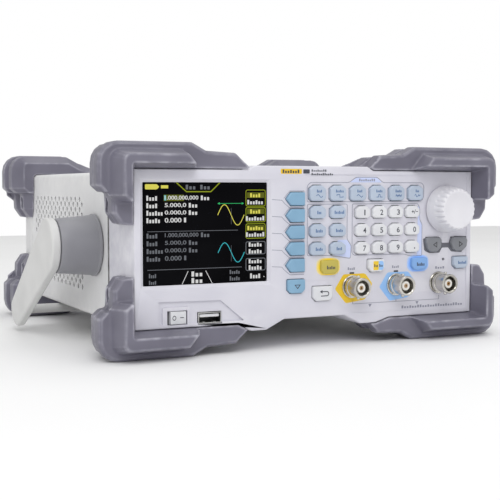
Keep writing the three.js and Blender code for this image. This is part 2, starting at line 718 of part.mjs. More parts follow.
function carryHandle() {
  const inner = caseHalf + clearance + hubLength + clearance;
  const tip = gripReach + gripHalfDepth;
  const shape = new THREE.Shape();
  shape.absarc(0, 0, armHalfWidth, 95 * degree, 265 * degree);
  const low = armTipLowRadius;
  shape.absarc(tip - low, -armTipHalfWidth + low, low, 270 * degree, 360 * degree);
  shape.absarc(tip - armTipRadius, armTipHalfWidth - armTipRadius, armTipRadius, 0, 90 * degree);
  const arms = [-1, 1].map((side) => {
    const plate = new THREE.ExtrudeGeometry(shape, {
      depth: armThickness - 1.6, bevelThickness: 0.8, bevelSize: 0.8, bevelOffset: -0.8, bevelSegments: 1,
      curveSegments: 8,
    });
    plate.rotateY(Math.PI / 2);
    plate.rotateX(Math.PI / 2);
    plate.translate(side > 0 ? inner + 0.8 : -inner - armThickness + 0.8, 0, 0);
    return solidOf(plate);
  });
  const grip = new THREE.CylinderGeometry(1, 1, inner * 2 + armThickness, 20);
  grip.rotateZ(Math.PI / 2);
  grip.scale(1, gripHalfDepth, gripHalfWidth);
  grip.translate(0, gripReach, gripRise);
  return joined([...arms, solidOf(grip)]);
}

// --- assembly ---------------------------------------------------------------------------------

const group = new THREE.Group();
const frame = new THREE.Group();
frame.position.y = -(overallFront + overallBack) / 2;
group.add(frame);

function add(parent, name, solid, tint, roughness, metalness = 0) {
  const material = new THREE.MeshStandardMaterial({ color: tint, roughness, metalness });
  const mesh = new THREE.Mesh(geometryOf(solid), material);
  mesh.name = name;
  parent.add(mesh);
  return mesh;
}

add(frame, 'front_panel', frontPanel(), colour.panel, 0.45);
add(frame, 'display', displayModule(), colour.black, 0.12);
for (const key of keys) {
  add(frame, key.name, keyCap(key), key.tint, 0.5).position.set(key.x, 0, key.z);
}
add(frame, 'dial_knob', dialKnob(), colour.dial, 0.45).position.set(dialAt.x, 0, dialAt.z);
const rocker = add(frame, 'power_rocker', powerRocker(), colour.white, 0.35);
rocker.position.set(rockerAt.x, rockerAt.y, rockerAt.z);
rocker.rotation.z = rockerTilt * degree;
add(frame, 'coaxial_sockets', coaxialSockets(), colour.nickel, 0.25, 0.9);
add(frame, 'front_board', frontBoard(), colour.board, 0.6);
add(frame, 'cover', coverShell(), colour.cover, 0.5);
add(frame, 'rear_panel', rearPanel(), colour.cover, 0.5);
add(frame, 'mains_inlet', mainsInlet(), colour.black, 0.5);
add(frame, 'fan_rotor', fanRotor(), colour.black, 0.5).position.set(fanAt.x, 0, fanAt.z);
add(frame, 'main_board', mainBoard(), colour.board, 0.6);
add(frame, 'power_supply', powerSupply(), colour.board, 0.6);
for (const corner of bumpers) {
  add(frame, corner.name, bumper(corner), colour.bumper, 0.7);
}

const handle = new THREE.Group();
handle.position.set(0, hinge.y, hinge.z);
handle.rotation.x = -handleRestAngle * degree;
frame.add(handle);
add(handle, 'carry_handle', carryHandle(), colour.arm, 0.45);
add(handle, 'left_hub', handleHub(-1), colour.hub, 0.5);
add(handle, 'right_hub', handleHub(1), colour.hub, 0.5);

export default group;
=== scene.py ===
"""A bench-top two-channel function generator: looks and fine shape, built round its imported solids."""
import math
import bmesh
import bpy
from mathutils import Matrix, Vector


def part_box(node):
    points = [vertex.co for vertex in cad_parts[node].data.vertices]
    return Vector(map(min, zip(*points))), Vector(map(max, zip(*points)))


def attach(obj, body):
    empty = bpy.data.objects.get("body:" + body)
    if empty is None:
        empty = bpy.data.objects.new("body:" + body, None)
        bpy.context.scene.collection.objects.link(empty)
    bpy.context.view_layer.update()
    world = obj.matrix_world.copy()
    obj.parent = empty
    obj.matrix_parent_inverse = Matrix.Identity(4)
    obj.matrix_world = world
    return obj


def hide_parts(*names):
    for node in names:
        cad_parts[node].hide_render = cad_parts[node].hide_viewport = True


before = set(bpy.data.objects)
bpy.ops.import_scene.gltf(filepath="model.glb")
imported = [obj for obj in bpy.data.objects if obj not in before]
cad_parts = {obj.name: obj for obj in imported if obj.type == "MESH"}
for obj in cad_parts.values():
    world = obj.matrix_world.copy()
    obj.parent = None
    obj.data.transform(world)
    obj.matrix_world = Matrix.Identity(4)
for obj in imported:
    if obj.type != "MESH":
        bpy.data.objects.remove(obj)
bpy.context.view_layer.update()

MM = 0.001
WELD = 1e-6
CASE = "case"

# The face of the front panel, in metres: every depth below is measured back from it.
PANEL_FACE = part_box("front_panel")[0][1]

# Print, key and cap sizes, in millimetres.
PLATE_DEPTH = 0.4
PRINT_LIFT = 0.02
PRINT_THICKNESS = 0.05
LINE_WIDTH = 0.34
KEY_FLANGE = 0.5
KEY_ROUND = 0.75
KEY_PROUD = 1.8

# Display window: where it lies on the panel and the size of its picture, in millimetres.
SCREEN_LEFT = -101.2
SCREEN_TOP = 91.2
SCREEN_WIDTH = 71.1
SCREEN_HEIGHT = 53.3
SCREEN_DEPTH = 1.4

# Cover vents.
VENT_RADIUS = 1.65
VENT_COLUMN_PITCH = 4.4
VENT_ROW_PITCH = 6
VENT_FIRST_COLUMN = 88
VENT_COLUMNS = 25
VENT_LOWEST = 30.5
VENT_ROWS = 9
VENT_CUT = (104, 109)

# The rest of the places that several pieces are set out from, in millimetres.
PANEL_RIM_HALF = 105.9
PANEL_RIM_TOP = 97.5
PANEL_RIM_FOOT = 16.9
COVER_INSIDE_HALF = 106.2
COVER_INSIDE_FOOT = 16.6
COVER_INSIDE_TOP = 96
REAR_FACE = 224
REAR_RIM_WIDTH = 1.2
INLET_X = 66
INLET_HEIGHT = 43.6
REAR_SOCKETS = (2, 22, 42)
REAR_SOCKET_HEIGHT = 80
SERIAL_X = -64.3
SERIAL_HEIGHT = 20
SERIAL_SIZE = (13.2, 5.9)
SERIAL_WALL = 0.5
SOCKET_FIRST = 23.05
SOCKET_PITCH = 29.8
SOCKET_HEIGHT = 32.8
HINGE_DEPTH = 64
HINGE_HEIGHT = 56.3
HUB_START = 107.35

# Viewpoint: where it stands, which way it looks and its lens.
VIEW_PLACE = (-277.6, -482.1, 87.7)
VIEW_AIM = (0.4397, 0.8960, -0.0605)
VIEW_LENS = 72.5
VIEW_SENSOR = 36

scene = bpy.context.scene


# --- places and outlines ----------------------------------------------------------------------

def at(x, depth, z):
    """A point from millimetres right of the middle, back from the panel face and up."""
    return Vector((x * MM, PANEL_FACE + depth * MM, z * MM))


def tint(code, light=1.0):
    """A linear colour from a paint code such as #A0B0C0."""
    parts = [int(code[i:i + 2], 16) / 255 for i in (1, 3, 5)]
    linear = [p / 12.92 if p < 0.04045 else ((p + 0.055) / 1.055) ** 2.4 for p in parts]
    return (*[min(1.0, p * light) for p in linear], 1.0)


def softened(points, radius, steps=4):
    """An outline with its corners rounded."""
    rounded = []
    for i, corner in enumerate(points):
        corner = Vector(corner)
        before = Vector(points[i - 1]) - corner
        after = Vector(points[(i + 1) % len(points)]) - corner
        reach = min(radius, before.length * 0.45, after.length * 0.45)
        start = corner + before.normalized() * reach
        end = corner + after.normalized() * reach
        for step in range(steps + 1):
            t = step / steps
            rounded.append((1 - t) ** 2 * start + 2 * t * (1 - t) * corner + t * t * end)
    return rounded


def inset(points, by):
    """The same outline moved inwards; a minus value moves it outwards."""
    points = [Vector(p) for p in points]
    area = sum(a.x * b.y - b.x * a.y for a, b in zip(points, points[1:] + points[:1]))
    turn = 1 if area > 0 else -1
    moved = []
    for i, point in enumerate(points):
        before = (point - points[i - 1]).normalized()
        after = (points[(i + 1) % len(points)] - point).normalized()
        inward = Vector((-(before + after).y, (before + after).x)).normalized() * turn
        moved.append(point + inward * by)
    return moved


def shrunk(points, by):
    """The same outline about its own middle, drawn in by that much at its furthest reach."""
    wide = max(p.x for p in points)
    tall = max(p.y for p in points)
    return [Vector((p.x * (1 - by / wide), p.y * (1 - by / tall))) for p in points]


def circle(x, z, radius, steps=24):
    return [
        Vector((x + radius * math.cos(i * math.tau / steps), z + radius * math.sin(i * math.tau / steps)))
        for i in range(steps)
    ]


def rectangle(left, right, low, high):
    return [Vector((left, low)), Vector((right, low)), Vector((right, high)), Vector((left, high))]


# --- meshes -----------------------------------------------------------------------------------

def piece(name, bm, finishes, body, nodes=(), smooth=32):
    """Turns a finished mesh into a piece of the object that rides on a body."""
    bmesh.ops.recalc_face_normals(bm, faces=bm.faces)
    mesh = bpy.data.meshes.new(name)
    bm.to_mesh(mesh)
    bm.free()
    if "custom_normal" in mesh.attributes:
        mesh.attributes.remove(mesh.attributes["custom_normal"])
    for finish in finishes:
        mesh.materials.append(finish)
    mesh.shade_smooth()
    mesh.set_sharp_from_angle(angle=math.radians(smooth))
    made = bpy.data.objects.new(name, mesh)
    scene.collection.objects.link(made)
    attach(made, body)
    if nodes:
        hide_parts(*nodes)
    return made


def loft(bm, rings, material=0):
    """A closed skin through rings that have the same number of points."""
    loops = [[bm.verts.new(point) for point in ring] for ring in rings]
    faces = []
    for near, far in zip(loops, loops[1:]):
        for i in range(len(near)):
            j = (i + 1) % len(near)
            faces.append(bm.faces.new((near[i], near[j], far[j], far[i])))
    faces.append(bm.faces.new(loops[0]))
    faces.append(bm.faces.new(loops[-1]))
    for face in faces:
        face.material_index = material


def plate(bm, points, front, back, material=0):
    """A flat plate of that outline, facing the front, between two depths in millimetres."""
    loft(bm, [[at(p[0], depth, p[1]) for p in points] for depth in (back, front)], material)


def strip(bm, points, width, front, back, closed=False, material=0):
    """A flat line of even width that follows the points."""
    points = [Vector(p) for p in points]
    count = len(points)
    sides = []
    for i, point in enumerate(points):
        before = points[i - 1] if closed or i else point
        after = points[(i + 1) % count] if closed or i < count - 1 else point
        run = (point - before).normalized() + (after - point).normalized()
        run.normalize()
        straight = (after - point) if (after - point).length else (point - before)
        lean = max(0.5, abs(run.dot(straight.normalized())))
        across = Vector((-run.y, run.x)) * (width / 2 / lean)
        sides.append((point + across, point - across))
    rows = [
        [bm.verts.new(at(p.x, depth, p.y)) for depth in (front, back) for p in (left, right)]
        for left, right in sides
    ]
    faces = []
    pairs = list(zip(rows, rows[1:])) + ([(rows[-1], rows[0])] if closed else [])
    for a, b in pairs:
        for i, j in ((0, 1), (1, 3), (3, 2), (2, 0)):
            faces.append(bm.faces.new((a[i], a[j], b[j], b[i])))
    if not closed:
        for row in (rows[0], rows[-1]):
            faces.append(bm.faces.new((row[0], row[1], row[3], row[2])))
    for face in faces:
        face.material_index = material


def revolved(bm, profile, centre, axis="Y", steps=64, waves=0, depth=0.0, wavy=(), material=0):
    """A turned shape from pairs of radius and distance along the axis, in millimetres.
    The rings listed in wavy get that many scallops of the given depth."""
    rings = []
    for index, (radius, along) in enumerate(profile):
        ring = []
        for i in range(steps):
            angle = i * math.tau / steps
            dip = depth * (0.5 - 0.5 * math.cos(angle * waves)) ** 3 if index in wavy else 0
            u = (radius - dip) * math.cos(angle)
            v = (radius - dip) * math.sin(angle)
            offset = Vector((u, along, v)) if axis == "Y" else Vector((along, u, v))
            ring.append(centre + offset * MM)
        rings.append(ring)
    loft(bm, rings, material)


def block(bm, low, high, material=0, round_by=0.15):
    """A small block with broken edges; corners in millimetres from the panel datum."""
    low = Vector(low)
    high = Vector(high)
    r = min(round_by, *[(high[i] - low[i]) * 0.4 for i in range(3)])
    outline = softened(rectangle(low.x, high.x, low.z, high.z), r * 2, 2)
    rings = []
    for shrink, depth in ((r, low.y), (0, low.y + r), (0, high.y - r), (r, high.y)):
        rings.append([at(p.x, depth, p.y) for p in inset(outline, shrink)])
    loft(bm, rings, material)


def merge(bm, other):
    """Adds a second mesh to the first and lets go of it."""
    holder = bpy.data.meshes.new("merged")
    other.to_mesh(holder)
    other.free()
    bm.from_mesh(holder)
    bpy.data.meshes.remove(holder)


def cad_copy(node):
    """A welded copy of a solid of the frame, with its flat sides made whole again."""
    bm = bmesh.new()
    bm.from_mesh(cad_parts[node].data)
    bmesh.ops.remove_doubles(bm, verts=bm.verts, dist=WELD)
    bmesh.ops.dissolve_limit(bm, angle_limit=math.radians(0.6), verts=bm.verts, edges=bm.edges)
    for face in bm.faces:
        face.material_index = 0
    return bm


def break_edges(bm, width, segments=2, only=None, angle=30):
    """Rounds the sharp edges of a mesh."""
    edges = [
        edge for edge in bm.edges
        if len(edge.link_faces) == 2 and edge.calc_face_angle(0) > math.radians(angle)
        and (only is None or only(edge))
    ]
    bmesh.ops.bevel(
        bm, geom=edges, offset=width * MM, segments=segments, profile=0.5,
        affect="EDGES", clamp_overlap=False, miter_outer="ARC",
    )


def paint_where(bm, test, material):
    """Gives the faces whose middle passes the test another finish."""
    for face in bm.faces:
        middle = face.calc_center_median()
        if test(middle.x / MM, (middle.y - PANEL_FACE) / MM, middle.z / MM):
            face.material_index = material


# --- effects that several finishes share --------------------------------------------------------

def effect(name, inputs, outputs):
    """An empty node group with named sockets, and its two ends."""
    tree = bpy.data.node_groups.new(name, "ShaderNodeTree")
    for label, value in inputs.items():
        kind = "NodeSocketColor" if isinstance(value, tuple) else "NodeSocketFloat"
        tree.interface.new_socket(label, in_out="INPUT", socket_type=kind).default_value = value
    for label in outputs:
        tree.interface.new_socket(label, in_out="OUTPUT", socket_type="NodeSocketFloat")
    return tree, tree.nodes.new("NodeGroupInput"), tree.nodes.new("NodeGroupOutput")


def noise(tree, scale, detail, coordinate, stretch=None):
    """Noise on the piece's own coordinates; the scale may be a number or a socket."""
    node = tree.nodes.new("ShaderNodeTexNoise")
    node.inputs["Detail"].default_value = detail
    if isinstance(scale, (int, float)):
        node.inputs["Scale"].default_value = scale
    else:
        tree.links.new(scale, node.inputs["Scale"])
    if stretch:
        mapping = tree.nodes.new("ShaderNodeMapping")
        mapping.inputs["Scale"].default_value = stretch
        tree.links.new(coordinate, mapping.inputs["Vector"])
        coordinate = mapping.outputs["Vector"]
    tree.links.new(coordinate, node.inputs["Vector"])
    return node.outputs["Fac"]


def own_coordinates(tree):
    return tree.nodes.new("ShaderNodeTexCoord").outputs["Object"]


def sums(tree, operation, *values):
    """A math node on numbers or sockets."""
    node = tree.nodes.new("ShaderNodeMath")
    node.operation = operation
    for socket, value in zip(node.inputs, values):
        if isinstance(value, (int, float)):
            socket.default_value = value
        else:
            tree.links.new(value, socket)
    return node.outputs[0]


def spread(tree, value, low, high, to_low=0.0, to_high=1.0):
    """Maps a range of a value onto another, held at both ends; low and high may be sockets."""
    node = tree.nodes.new("ShaderNodeMapRange")
    tree.links.new(value, node.inputs["Value"])
    for label, given in (("From Min", low), ("From Max", high), ("To Min", to_low), ("To Max", to_high)):
        if isinstance(given, (int, float)):
            node.inputs[label].default_value = given
        else:
            tree.links.new(given, node.inputs[label])
    return node.outputs["Result"]


def make_moulded_grain():
    """Fine spark-eroded texture of a moulding, and a slow drift of its shade."""
    tree, given, out = effect("Moulded grain", {"Scale": 2600.0}, ["Height", "Drift"])
    here = own_coordinates(tree)
    fine = noise(tree, given.outputs["Scale"], 3, here)
    slow = noise(tree, 45, 2, here)
    tree.links.new(fine, out.inputs["Height"])
    tree.links.new(spread(tree, slow, 0.35, 0.65), out.inputs["Drift"])
    return tree


def make_edge_scuff_and_highlight():
    """A mask on outward sharp edges: scuffing from handling, and on the bumper rubber a painted edge
    highlight.
    """
    tree, given, out = effect("Edge scuff and highlight", {"Amount": 0.5, "Start": 0.515, "Full": 0.6}, ["Mask"])
    here = own_coordinates(tree)
    sharpness = tree.nodes.new("ShaderNodeNewGeometry").outputs["Pointiness"]
    edge = spread(tree, sharpness, given.outputs["Start"], given.outputs["Full"])
    patchy = spread(tree, noise(tree, 160, 4, here), 0.38, 0.66, 0.25, 1.0)
    edge_mask = sums(tree, "MULTIPLY", edge, patchy)
    tree.links.new(sums(tree, "MULTIPLY", edge_mask, given.outputs["Amount"]), out.inputs["Mask"])
    return tree


def make_settled_dust():
    """A thin veil on what faces up, thicker in patches."""
    tree, given, out = effect("Settled dust", {"Amount": 0.1}, ["Mask"])
    normal = tree.nodes.new("ShaderNodeNewGeometry").outputs["Normal"]
    split = tree.nodes.new("ShaderNodeSeparateXYZ")
    tree.links.new(normal, split.inputs[0])
    up = spread(tree, split.outputs["Z"], 0.4, 1.0)
    patchy = spread(tree, noise(tree, 70, 5, own_coordinates(tree)), 0.4, 0.7, 0.3, 1.0)
    veil = sums(tree, "MULTIPLY", up, patchy)
    tree.links.new(sums(tree, "MULTIPLY", veil, given.outputs["Amount"]), out.inputs["Mask"])
    return tree


def make_handling_marks():
    """Uneven polish left by hands and cloths, as a roughness."""
    tree, given, out = effect("Handling marks", {"Polish": 0.4, "Swing": 0.1}, ["Roughness"])
    here = own_coordinates(tree)
    smear = spread(tree, noise(tree, 38, 5, here, (1, 1, 2.6)), 0.35, 0.65, -1, 1)
    swung = sums(tree, "MULTIPLY", smear, given.outputs["Swing"])
    tree.links.new(sums(tree, "ADD", swung, given.outputs["Polish"]), out.inputs["Roughness"])
    return tree


def make_picture_dots():
    """The fine raster of a colour display, as a brightness between about 0.75 and 1."""
    tree, given, out = effect("Picture dots", {"Pitch": 0.00022}, ["Light"])
    split = tree.nodes.new("ShaderNodeSeparateXYZ")
    tree.links.new(own_coordinates(tree), split.inputs[0])
    waves = []
    for axis in ("X", "Z"):
        steps = sums(tree, "DIVIDE", split.outputs[axis], given.outputs["Pitch"])
        waves.append(sums(tree, "PINGPONG", steps, 0.5))
    both = sums(tree, "MULTIPLY", waves[0], waves[1])
    tree.links.new(spread(tree, both, 0.0, 0.2, 0.78, 1.0), out.inputs["Light"])
    return tree


GRAIN = make_moulded_grain()
SCUFF_AND_HIGHLIGHT = make_edge_scuff_and_highlight()
DUST = make_settled_dust()
MARKS = make_handling_marks()
DOTS = make_picture_dots()


# --- finishes -----------------------------------------------------------------------------------

def place_effect(tree, group, **values):
    node = tree.nodes.new("ShaderNodeGroup")
    node.node_tree = group
    for label, value in values.items():
        node.inputs[label].default_value = value
    return node


def blank(name):
    """A new finish with only its shader, ready for its own nodes."""
    finish = bpy.data.materials.new(name)
    finish.use_nodes = True
    tree = finish.node_tree
    return finish, tree, tree.nodes["Principled BSDF"]


def two_colours(tree, factor, first, second):
    """Mixes two colours, each a value or a socket, by a socket."""
    node = tree.nodes.new("ShaderNodeMix")
    node.data_type = "RGBA"
    tree.links.new(factor, node.inputs["Factor"])
    for label, value in (("A", first), ("B", second)):
        socket = next(s for s in node.inputs if s.name == label and s.type == "RGBA")
        if isinstance(value, tuple):
            socket.default_value = value
        else:
            tree.links.new(value, socket)
    return next(s for s in node.outputs if s.type == "RGBA")


def bumped(tree, shader, height, distance, strength=1.0):
    node = tree.nodes.new("ShaderNodeBump")
    node.inputs["Distance"].default_value = distance
    node.inputs["Strength"].default_value = strength
    tree.links.new(height, node.inputs["Height"])
    tree.links.new(node.outputs["Normal"], shader.inputs["Normal"])


def moulded(name, low, high, edge_colour, polish=0.42, swing=0.07, grain=2600.0, relief=0.00003,
            edge_amount=0.35, dust=0.06, start=0.515, full=0.6):
    """A moulded plastic or rubber between two shades, lighter at its sharp edges: scuffing, and on the bumper
    rubber a painted edge highlight.
    """
    finish, tree, shader = blank(name)
    skin = place_effect(tree, GRAIN, Scale=grain)
    edge_mask = place_effect(tree, SCUFF_AND_HIGHLIGHT, Amount=edge_amount, Start=start, Full=full)
    veil = place_effect(tree, DUST, Amount=dust)
    marks = place_effect(tree, MARKS, Polish=polish, Swing=swing)
    base = two_colours(tree, skin.outputs["Drift"], tint(low), tint(high))
    # Sharp edges take the edge colour: scuffing, and on the bumper rubber a painted highlight.
    base = two_colours(tree, edge_mask.outputs["Mask"], base, tint(edge_colour))
    base = two_colours(tree, veil.outputs["Mask"], base, tint("#D8D6D0"))
    tree.links.new(base, shader.inputs["Base Color"])
    tree.links.new(marks.outputs["Roughness"], shader.inputs["Roughness"])
    bumped(tree, shader, skin.outputs["Height"], relief)
    return finish


def panel_plastic():
    return moulded("Panel plastic", "#D2D1DB", "#D8D7E0", "#F2F2F5", polish=0.46, edge_amount=0.5)


def case_paint():
    return moulded("Cover paint", "#DEDEDF", "#E4E4E5", "#F6F6F4", polish=0.5, grain=1500.0,
                   relief=0.00005, edge_amount=0.4, dust=0.04)


def bumper_rubber():
    # The pale edge colour #C8C7D2, laid thick on low sharpness thresholds, is painted highlight along the
    # rubber's edges.
    return moulded("Bumper rubber", "#6A6876", "#757381", "#C8C7D2", polish=0.36, swing=0.08,
                   grain=1900.0, relief=0.00004, edge_amount=0.75, dust=0.04, start=0.507, full=0.545)


def hub_plastic():
    return moulded("Hub plastic", "#8B8B91", "#94949A", "#AEAEB2", polish=0.48, edge_amount=0.4)


def arm_plastic():
    return moulded("Arm plastic", "#D2D2D1", "#DADAD9", "#F5F5F3", polish=0.44, edge_amount=0.45)


def dial_plastic():
    return moulded("Dial plastic", "#DEDDE3", "#E5E4E9", "#FAFAFB", polish=0.4, edge_amount=0.5)


def soft_rubber():
    return moulded("Menu key rubber", "#7FA7C4", "#8AB2CE", "#A9CADF", polish=0.42, edge_amount=0.5)


def pale_rubber():
    return moulded("Pale key rubber", "#AEBACB", "#B7C3D4", "#D0DCEA", polish=0.42, edge_amount=0.5)


def white_plastic():
    return moulded("White key plastic", "#D9DADE", "#E1E2E5", "#FAFAFA", polish=0.36, edge_amount=0.4)


def arrow_rubber():
    return moulded("Arrow key rubber", "#7B7D83", "#87898F", "#A8AAAF", polish=0.44, edge_amount=0.6)


def black_plastic():
    return moulded("Black plastic", "#17181B", "#202124", "#3E4044", polish=0.42, edge_amount=0.5, dust=0.1)


def recess_plastic():
    return moulded("Recess plastic", "#5C5D66", "#666770", "#7D7E86", polish=0.5, edge_amount=0.3)


def insulator():
    return moulded("White insulator", "#E6E3DC", "#EFECE6", "#F7F6F2", polish=0.38, edge_amount=0.2)


def ink(name, low, high):
    """A printed ink: slightly uneven, with a dry surface."""
    return moulded(name, low, high, high, polish=0.6, grain=5200.0, relief=0.000008, edge_amount=0.1, dust=0.02)


def backlit(name, rim, middle, centre, reach, glow):
    """Translucent rubber or ink with a lamp behind it: brightest in the middle, fading outwards."""
    finish, tree, shader = blank(name)
    mapping = tree.nodes.new("ShaderNodeMapping")
    mapping.vector_type = "TEXTURE"
    mapping.inputs["Location"].default_value = centre
    mapping.inputs["Scale"].default_value = reach
    tree.links.new(own_coordinates(tree), mapping.inputs["Vector"])
    distance = tree.nodes.new("ShaderNodeVectorMath")
    distance.operation = "LENGTH"
    tree.links.new(mapping.outputs["Vector"], distance.inputs[0])
    fade = spread(tree, distance.outputs["Value"], 0.6, 1.0, 1.0, 0.0)
    skin = place_effect(tree, GRAIN, Scale=2600.0)
    marks = place_effect(tree, MARKS, Polish=0.42, Swing=0.06)
    lit = two_colours(tree, fade, tint(rim), tint(middle))
    tree.links.new(lit, shader.inputs["Base Color"])
    tree.links.new(lit, shader.inputs["Emission Color"])
    shader.inputs["Emission Strength"].default_value = glow
    tree.links.new(marks.outputs["Roughness"], shader.inputs["Roughness"])
    bumped(tree, shader, skin.outputs["Height"], 0.00002)
    return finish


def bright_metal(name, low, high, polish, grain=900.0, stretch=(1, 1, 1)):
    """Plated or drawn metal with fine tooling lines and a little dulling."""
    finish, tree, shader = blank(name)
    here = own_coordinates(tree)
    marks = place_effect(tree, MARKS, Polish=polish, Swing=0.06)
    edge_mask = place_effect(tree, SCUFF_AND_HIGHLIGHT, Amount=0.4)
    dulled = spread(tree, noise(tree, 120, 4, here), 0.35, 0.68)
    base = two_colours(tree, dulled, tint(high), tint(low))
    base = two_colours(tree, edge_mask.outputs["Mask"], base, tint("#F4F2EE"))
    tree.links.new(base, shader.inputs["Base Color"])
    shader.inputs["Metallic"].default_value = 1.0
    tree.links.new(marks.outputs["Roughness"], shader.inputs["Roughness"])
    bumped(tree, shader, noise(tree, grain, 3, here, stretch), 0.00002)
    return finish


def nickel():
    return bright_metal("Bright nickel", "#A8A59E", "#CFCCC6", 0.2, 900.0, (1, 9, 1))


def steel():
    return bright_metal("Pressed steel", "#9A9A9A", "#C4C4C2", 0.3, 700.0, (8, 1, 1))


# A dark metal finish for the cover's inside faces: painted shade, so the vents look dark.
def cover_inside_shade():
    return bright_metal("Cover inside shade", "#4A4B4E", "#5E5F62", 0.5, 500.0)


def gold_contact():
    return bright_metal("Gold contact", "#A5743A", "#CB9A55", 0.28)


def screen_glass():
    """Black display under a clear window, with faint cleaning smears."""
    finish, tree, shader = blank("Screen glass")
    here = own_coordinates(tree)
    marks = place_effect(tree, MARKS, Polish=0.1, Swing=0.05)
    shade = spread(tree, noise(tree, 30, 2, here), 0.35, 0.65)
    base = two_colours(tree, shade, tint("#050507"), tint("#0B0B0E"))
    tree.links.new(base, shader.inputs["Base Color"])
    tree.links.new(marks.outputs["Roughness"], shader.inputs["Roughness"])
    shader.inputs["Specular IOR Level"].default_value = 0.03
    bumped(tree, shader, noise(tree, 60, 2, here), 0.00001)
    return finish


def picture(name, colour, glow=1.0):
    """A lit part of the display's picture, broken into its fine dots."""
    finish, tree, shader = blank(name)
    dots = place_effect(tree, DOTS, Pitch=0.00022)
    lit = two_colours(tree, dots.outputs["Light"], (0.0, 0.0, 0.0, 1.0), tint(colour))
    tree.links.new(lit, shader.inputs["Emission Color"])
    tree.links.new(two_colours(tree, dots.outputs["Light"], (0.0, 0.0, 0.0, 1.0), tint(colour, 0.3)),
                   shader.inputs["Base Color"])
    shader.inputs["Emission Strength"].default_value = glow
    shader.inputs["Specular IOR Level"].default_value = 0.05
    return finish


def circuit_board():
    """Green solder mask over copper tracks."""
    finish, tree, shader = blank("Circuit board")
    here = own_coordinates(tree)
    tracks = tree.nodes.new("ShaderNodeTexBrick")
    tracks.inputs["Scale"].default_value = 140.0
    tracks.inputs["Mortar Size"].default_value = 0.06
    tracks.inputs["Color1"].default_value = tint("#1F5B38")
    tracks.inputs["Color2"].default_value = tint("#256744")
    tracks.inputs["Mortar"].default_value = tint("#3E8C5A")
    tree.links.new(here, tracks.inputs["Vector"])
    marks = place_effect(tree, MARKS, Polish=0.36, Swing=0.05)
    veil = place_effect(tree, DUST, Amount=0.2)
    base = two_colours(tree, veil.outputs["Mask"], tracks.outputs["Color"], tint("#B8B6AE"))
    tree.links.new(base, shader.inputs["Base Color"])
    tree.links.new(marks.outputs["Roughness"], shader.inputs["Roughness"])
    bumped(tree, shader, tracks.outputs["Fac"], 0.00003)
    return finish


PANEL = panel_plastic()
PAINT = case_paint()
RUBBER = bumper_rubber()
HUB = hub_plastic()
ARM = arm_plastic()
DIAL = dial_plastic()
SOFT = soft_rubber()
PALE = pale_rubber()
WHITE = white_plastic()
ARROW = arrow_rubber()
BLACK = black_plastic()
RECESS = recess_plastic()
INSULATOR = insulator()
NICKEL = nickel()
STEEL = steel()
INSIDE_SHADE = cover_inside_shade()
GOLD = gold_contact()
GLASS = screen_glass()
BOARD = circuit_board()
GREY_INK = ink("Grey ink", "#8A8C9B", "#9698A6")
DARK_INK = ink("Dark ink", "#3A3D48", "#464954")
BLUE_INK = ink("Blue ink", "#486896", "#5474A2")
SKY_INK = ink("Sky tint", "#C6D0F2", "#CDD7F6")
YELLOW_INK = ink("Yellow print", "#E8BE1C", "#F0CC38")
AZURE_INK = ink("Azure print", "#8DBCF4", "#A0CAF8")


# --- case, cover and rear -----------------------------------------------------------------------

def front_moulding():
    """The panel moulding, with its outer rim rounded more than its openings."""
    bm = cad_copy("front_panel")
    face = PANEL_FACE + 0.05 * MM

    def on_rim(edge):
        ends = [v.co for v in edge.verts]
        flat = all(p.y < face for p in ends)
        outside = all(
            abs(p.x) > PANEL_RIM_HALF * MM or p.z > PANEL_RIM_TOP * MM or p.z < PANEL_RIM_FOOT * MM
            for p in ends
        )
        return flat and outside

    break_edges(bm, 0.9, 3, on_rim)
    piece("panel_moulding", bm, [PANEL], CASE, ["front_panel"])


def vent_pattern(bm, side):
    """Cylinders that punch one side of the cover."""
    for column in range(VENT_COLUMNS):
        depth = VENT_FIRST_COLUMN + column * VENT_COLUMN_PITCH
        lift = VENT_ROW_PITCH / 2 if column % 2 else 0
        for row in range(VENT_ROWS):
            z = VENT_LOWEST + lift + row * VENT_ROW_PITCH
            inner, outer = sorted(side * cut for cut in VENT_CUT)
            revolved(
                bm, [(VENT_RADIUS, inner), (VENT_RADIUS, outer)], at(0, depth, z), "X", 10,
            )


def vented_cover():
    """The sheet cover with its rows of round vents punched through both sides."""
    bm = cad_copy("cover")
    # The cover's inside faces take the dark second finish: painted shade seen through the vents.
    paint_where(
        bm,
        lambda x, y, z: abs(x) < COVER_INSIDE_HALF and COVER_INSIDE_FOOT < z < COVER_INSIDE_TOP, 1,
    )
    break_edges(bm, 0.3, 2, lambda edge: all(face.material_index == 0 for face in edge.link_faces), 60)
    cover = piece("cover_sheet", bm, [PAINT, INSIDE_SHADE], CASE, ["cover"], 40)
    holes = bmesh.new()
    for side in (-1, 1):
        vent_pattern(holes, side)
    bmesh.ops.recalc_face_normals(holes, faces=holes.faces)
    punch_mesh = bpy.data.meshes.new("vent_punches")
    holes.to_mesh(punch_mesh)
    holes.free()
    punch = bpy.data.objects.new("vent_punches", punch_mesh)
    scene.collection.objects.link(punch)
    cutter = cover.modifiers.new("Vents", "BOOLEAN")
    cutter.operation = "DIFFERENCE"
    cutter.solver = "EXACT"
    cutter.object = punch
    apply_modifiers(cover)
    bpy.data.objects.remove(punch)
    cover.data.set_sharp_from_angle(angle=math.radians(40))


def apply_modifiers(made):
    """Turns what the modifiers give into the piece's own mesh."""
    graph = bpy.context.evaluated_depsgraph_get()
    result = bpy.data.meshes.new_from_object(made.evaluated_get(graph))
    result.name = made.data.name
    made.modifiers.clear()
    made.data = result


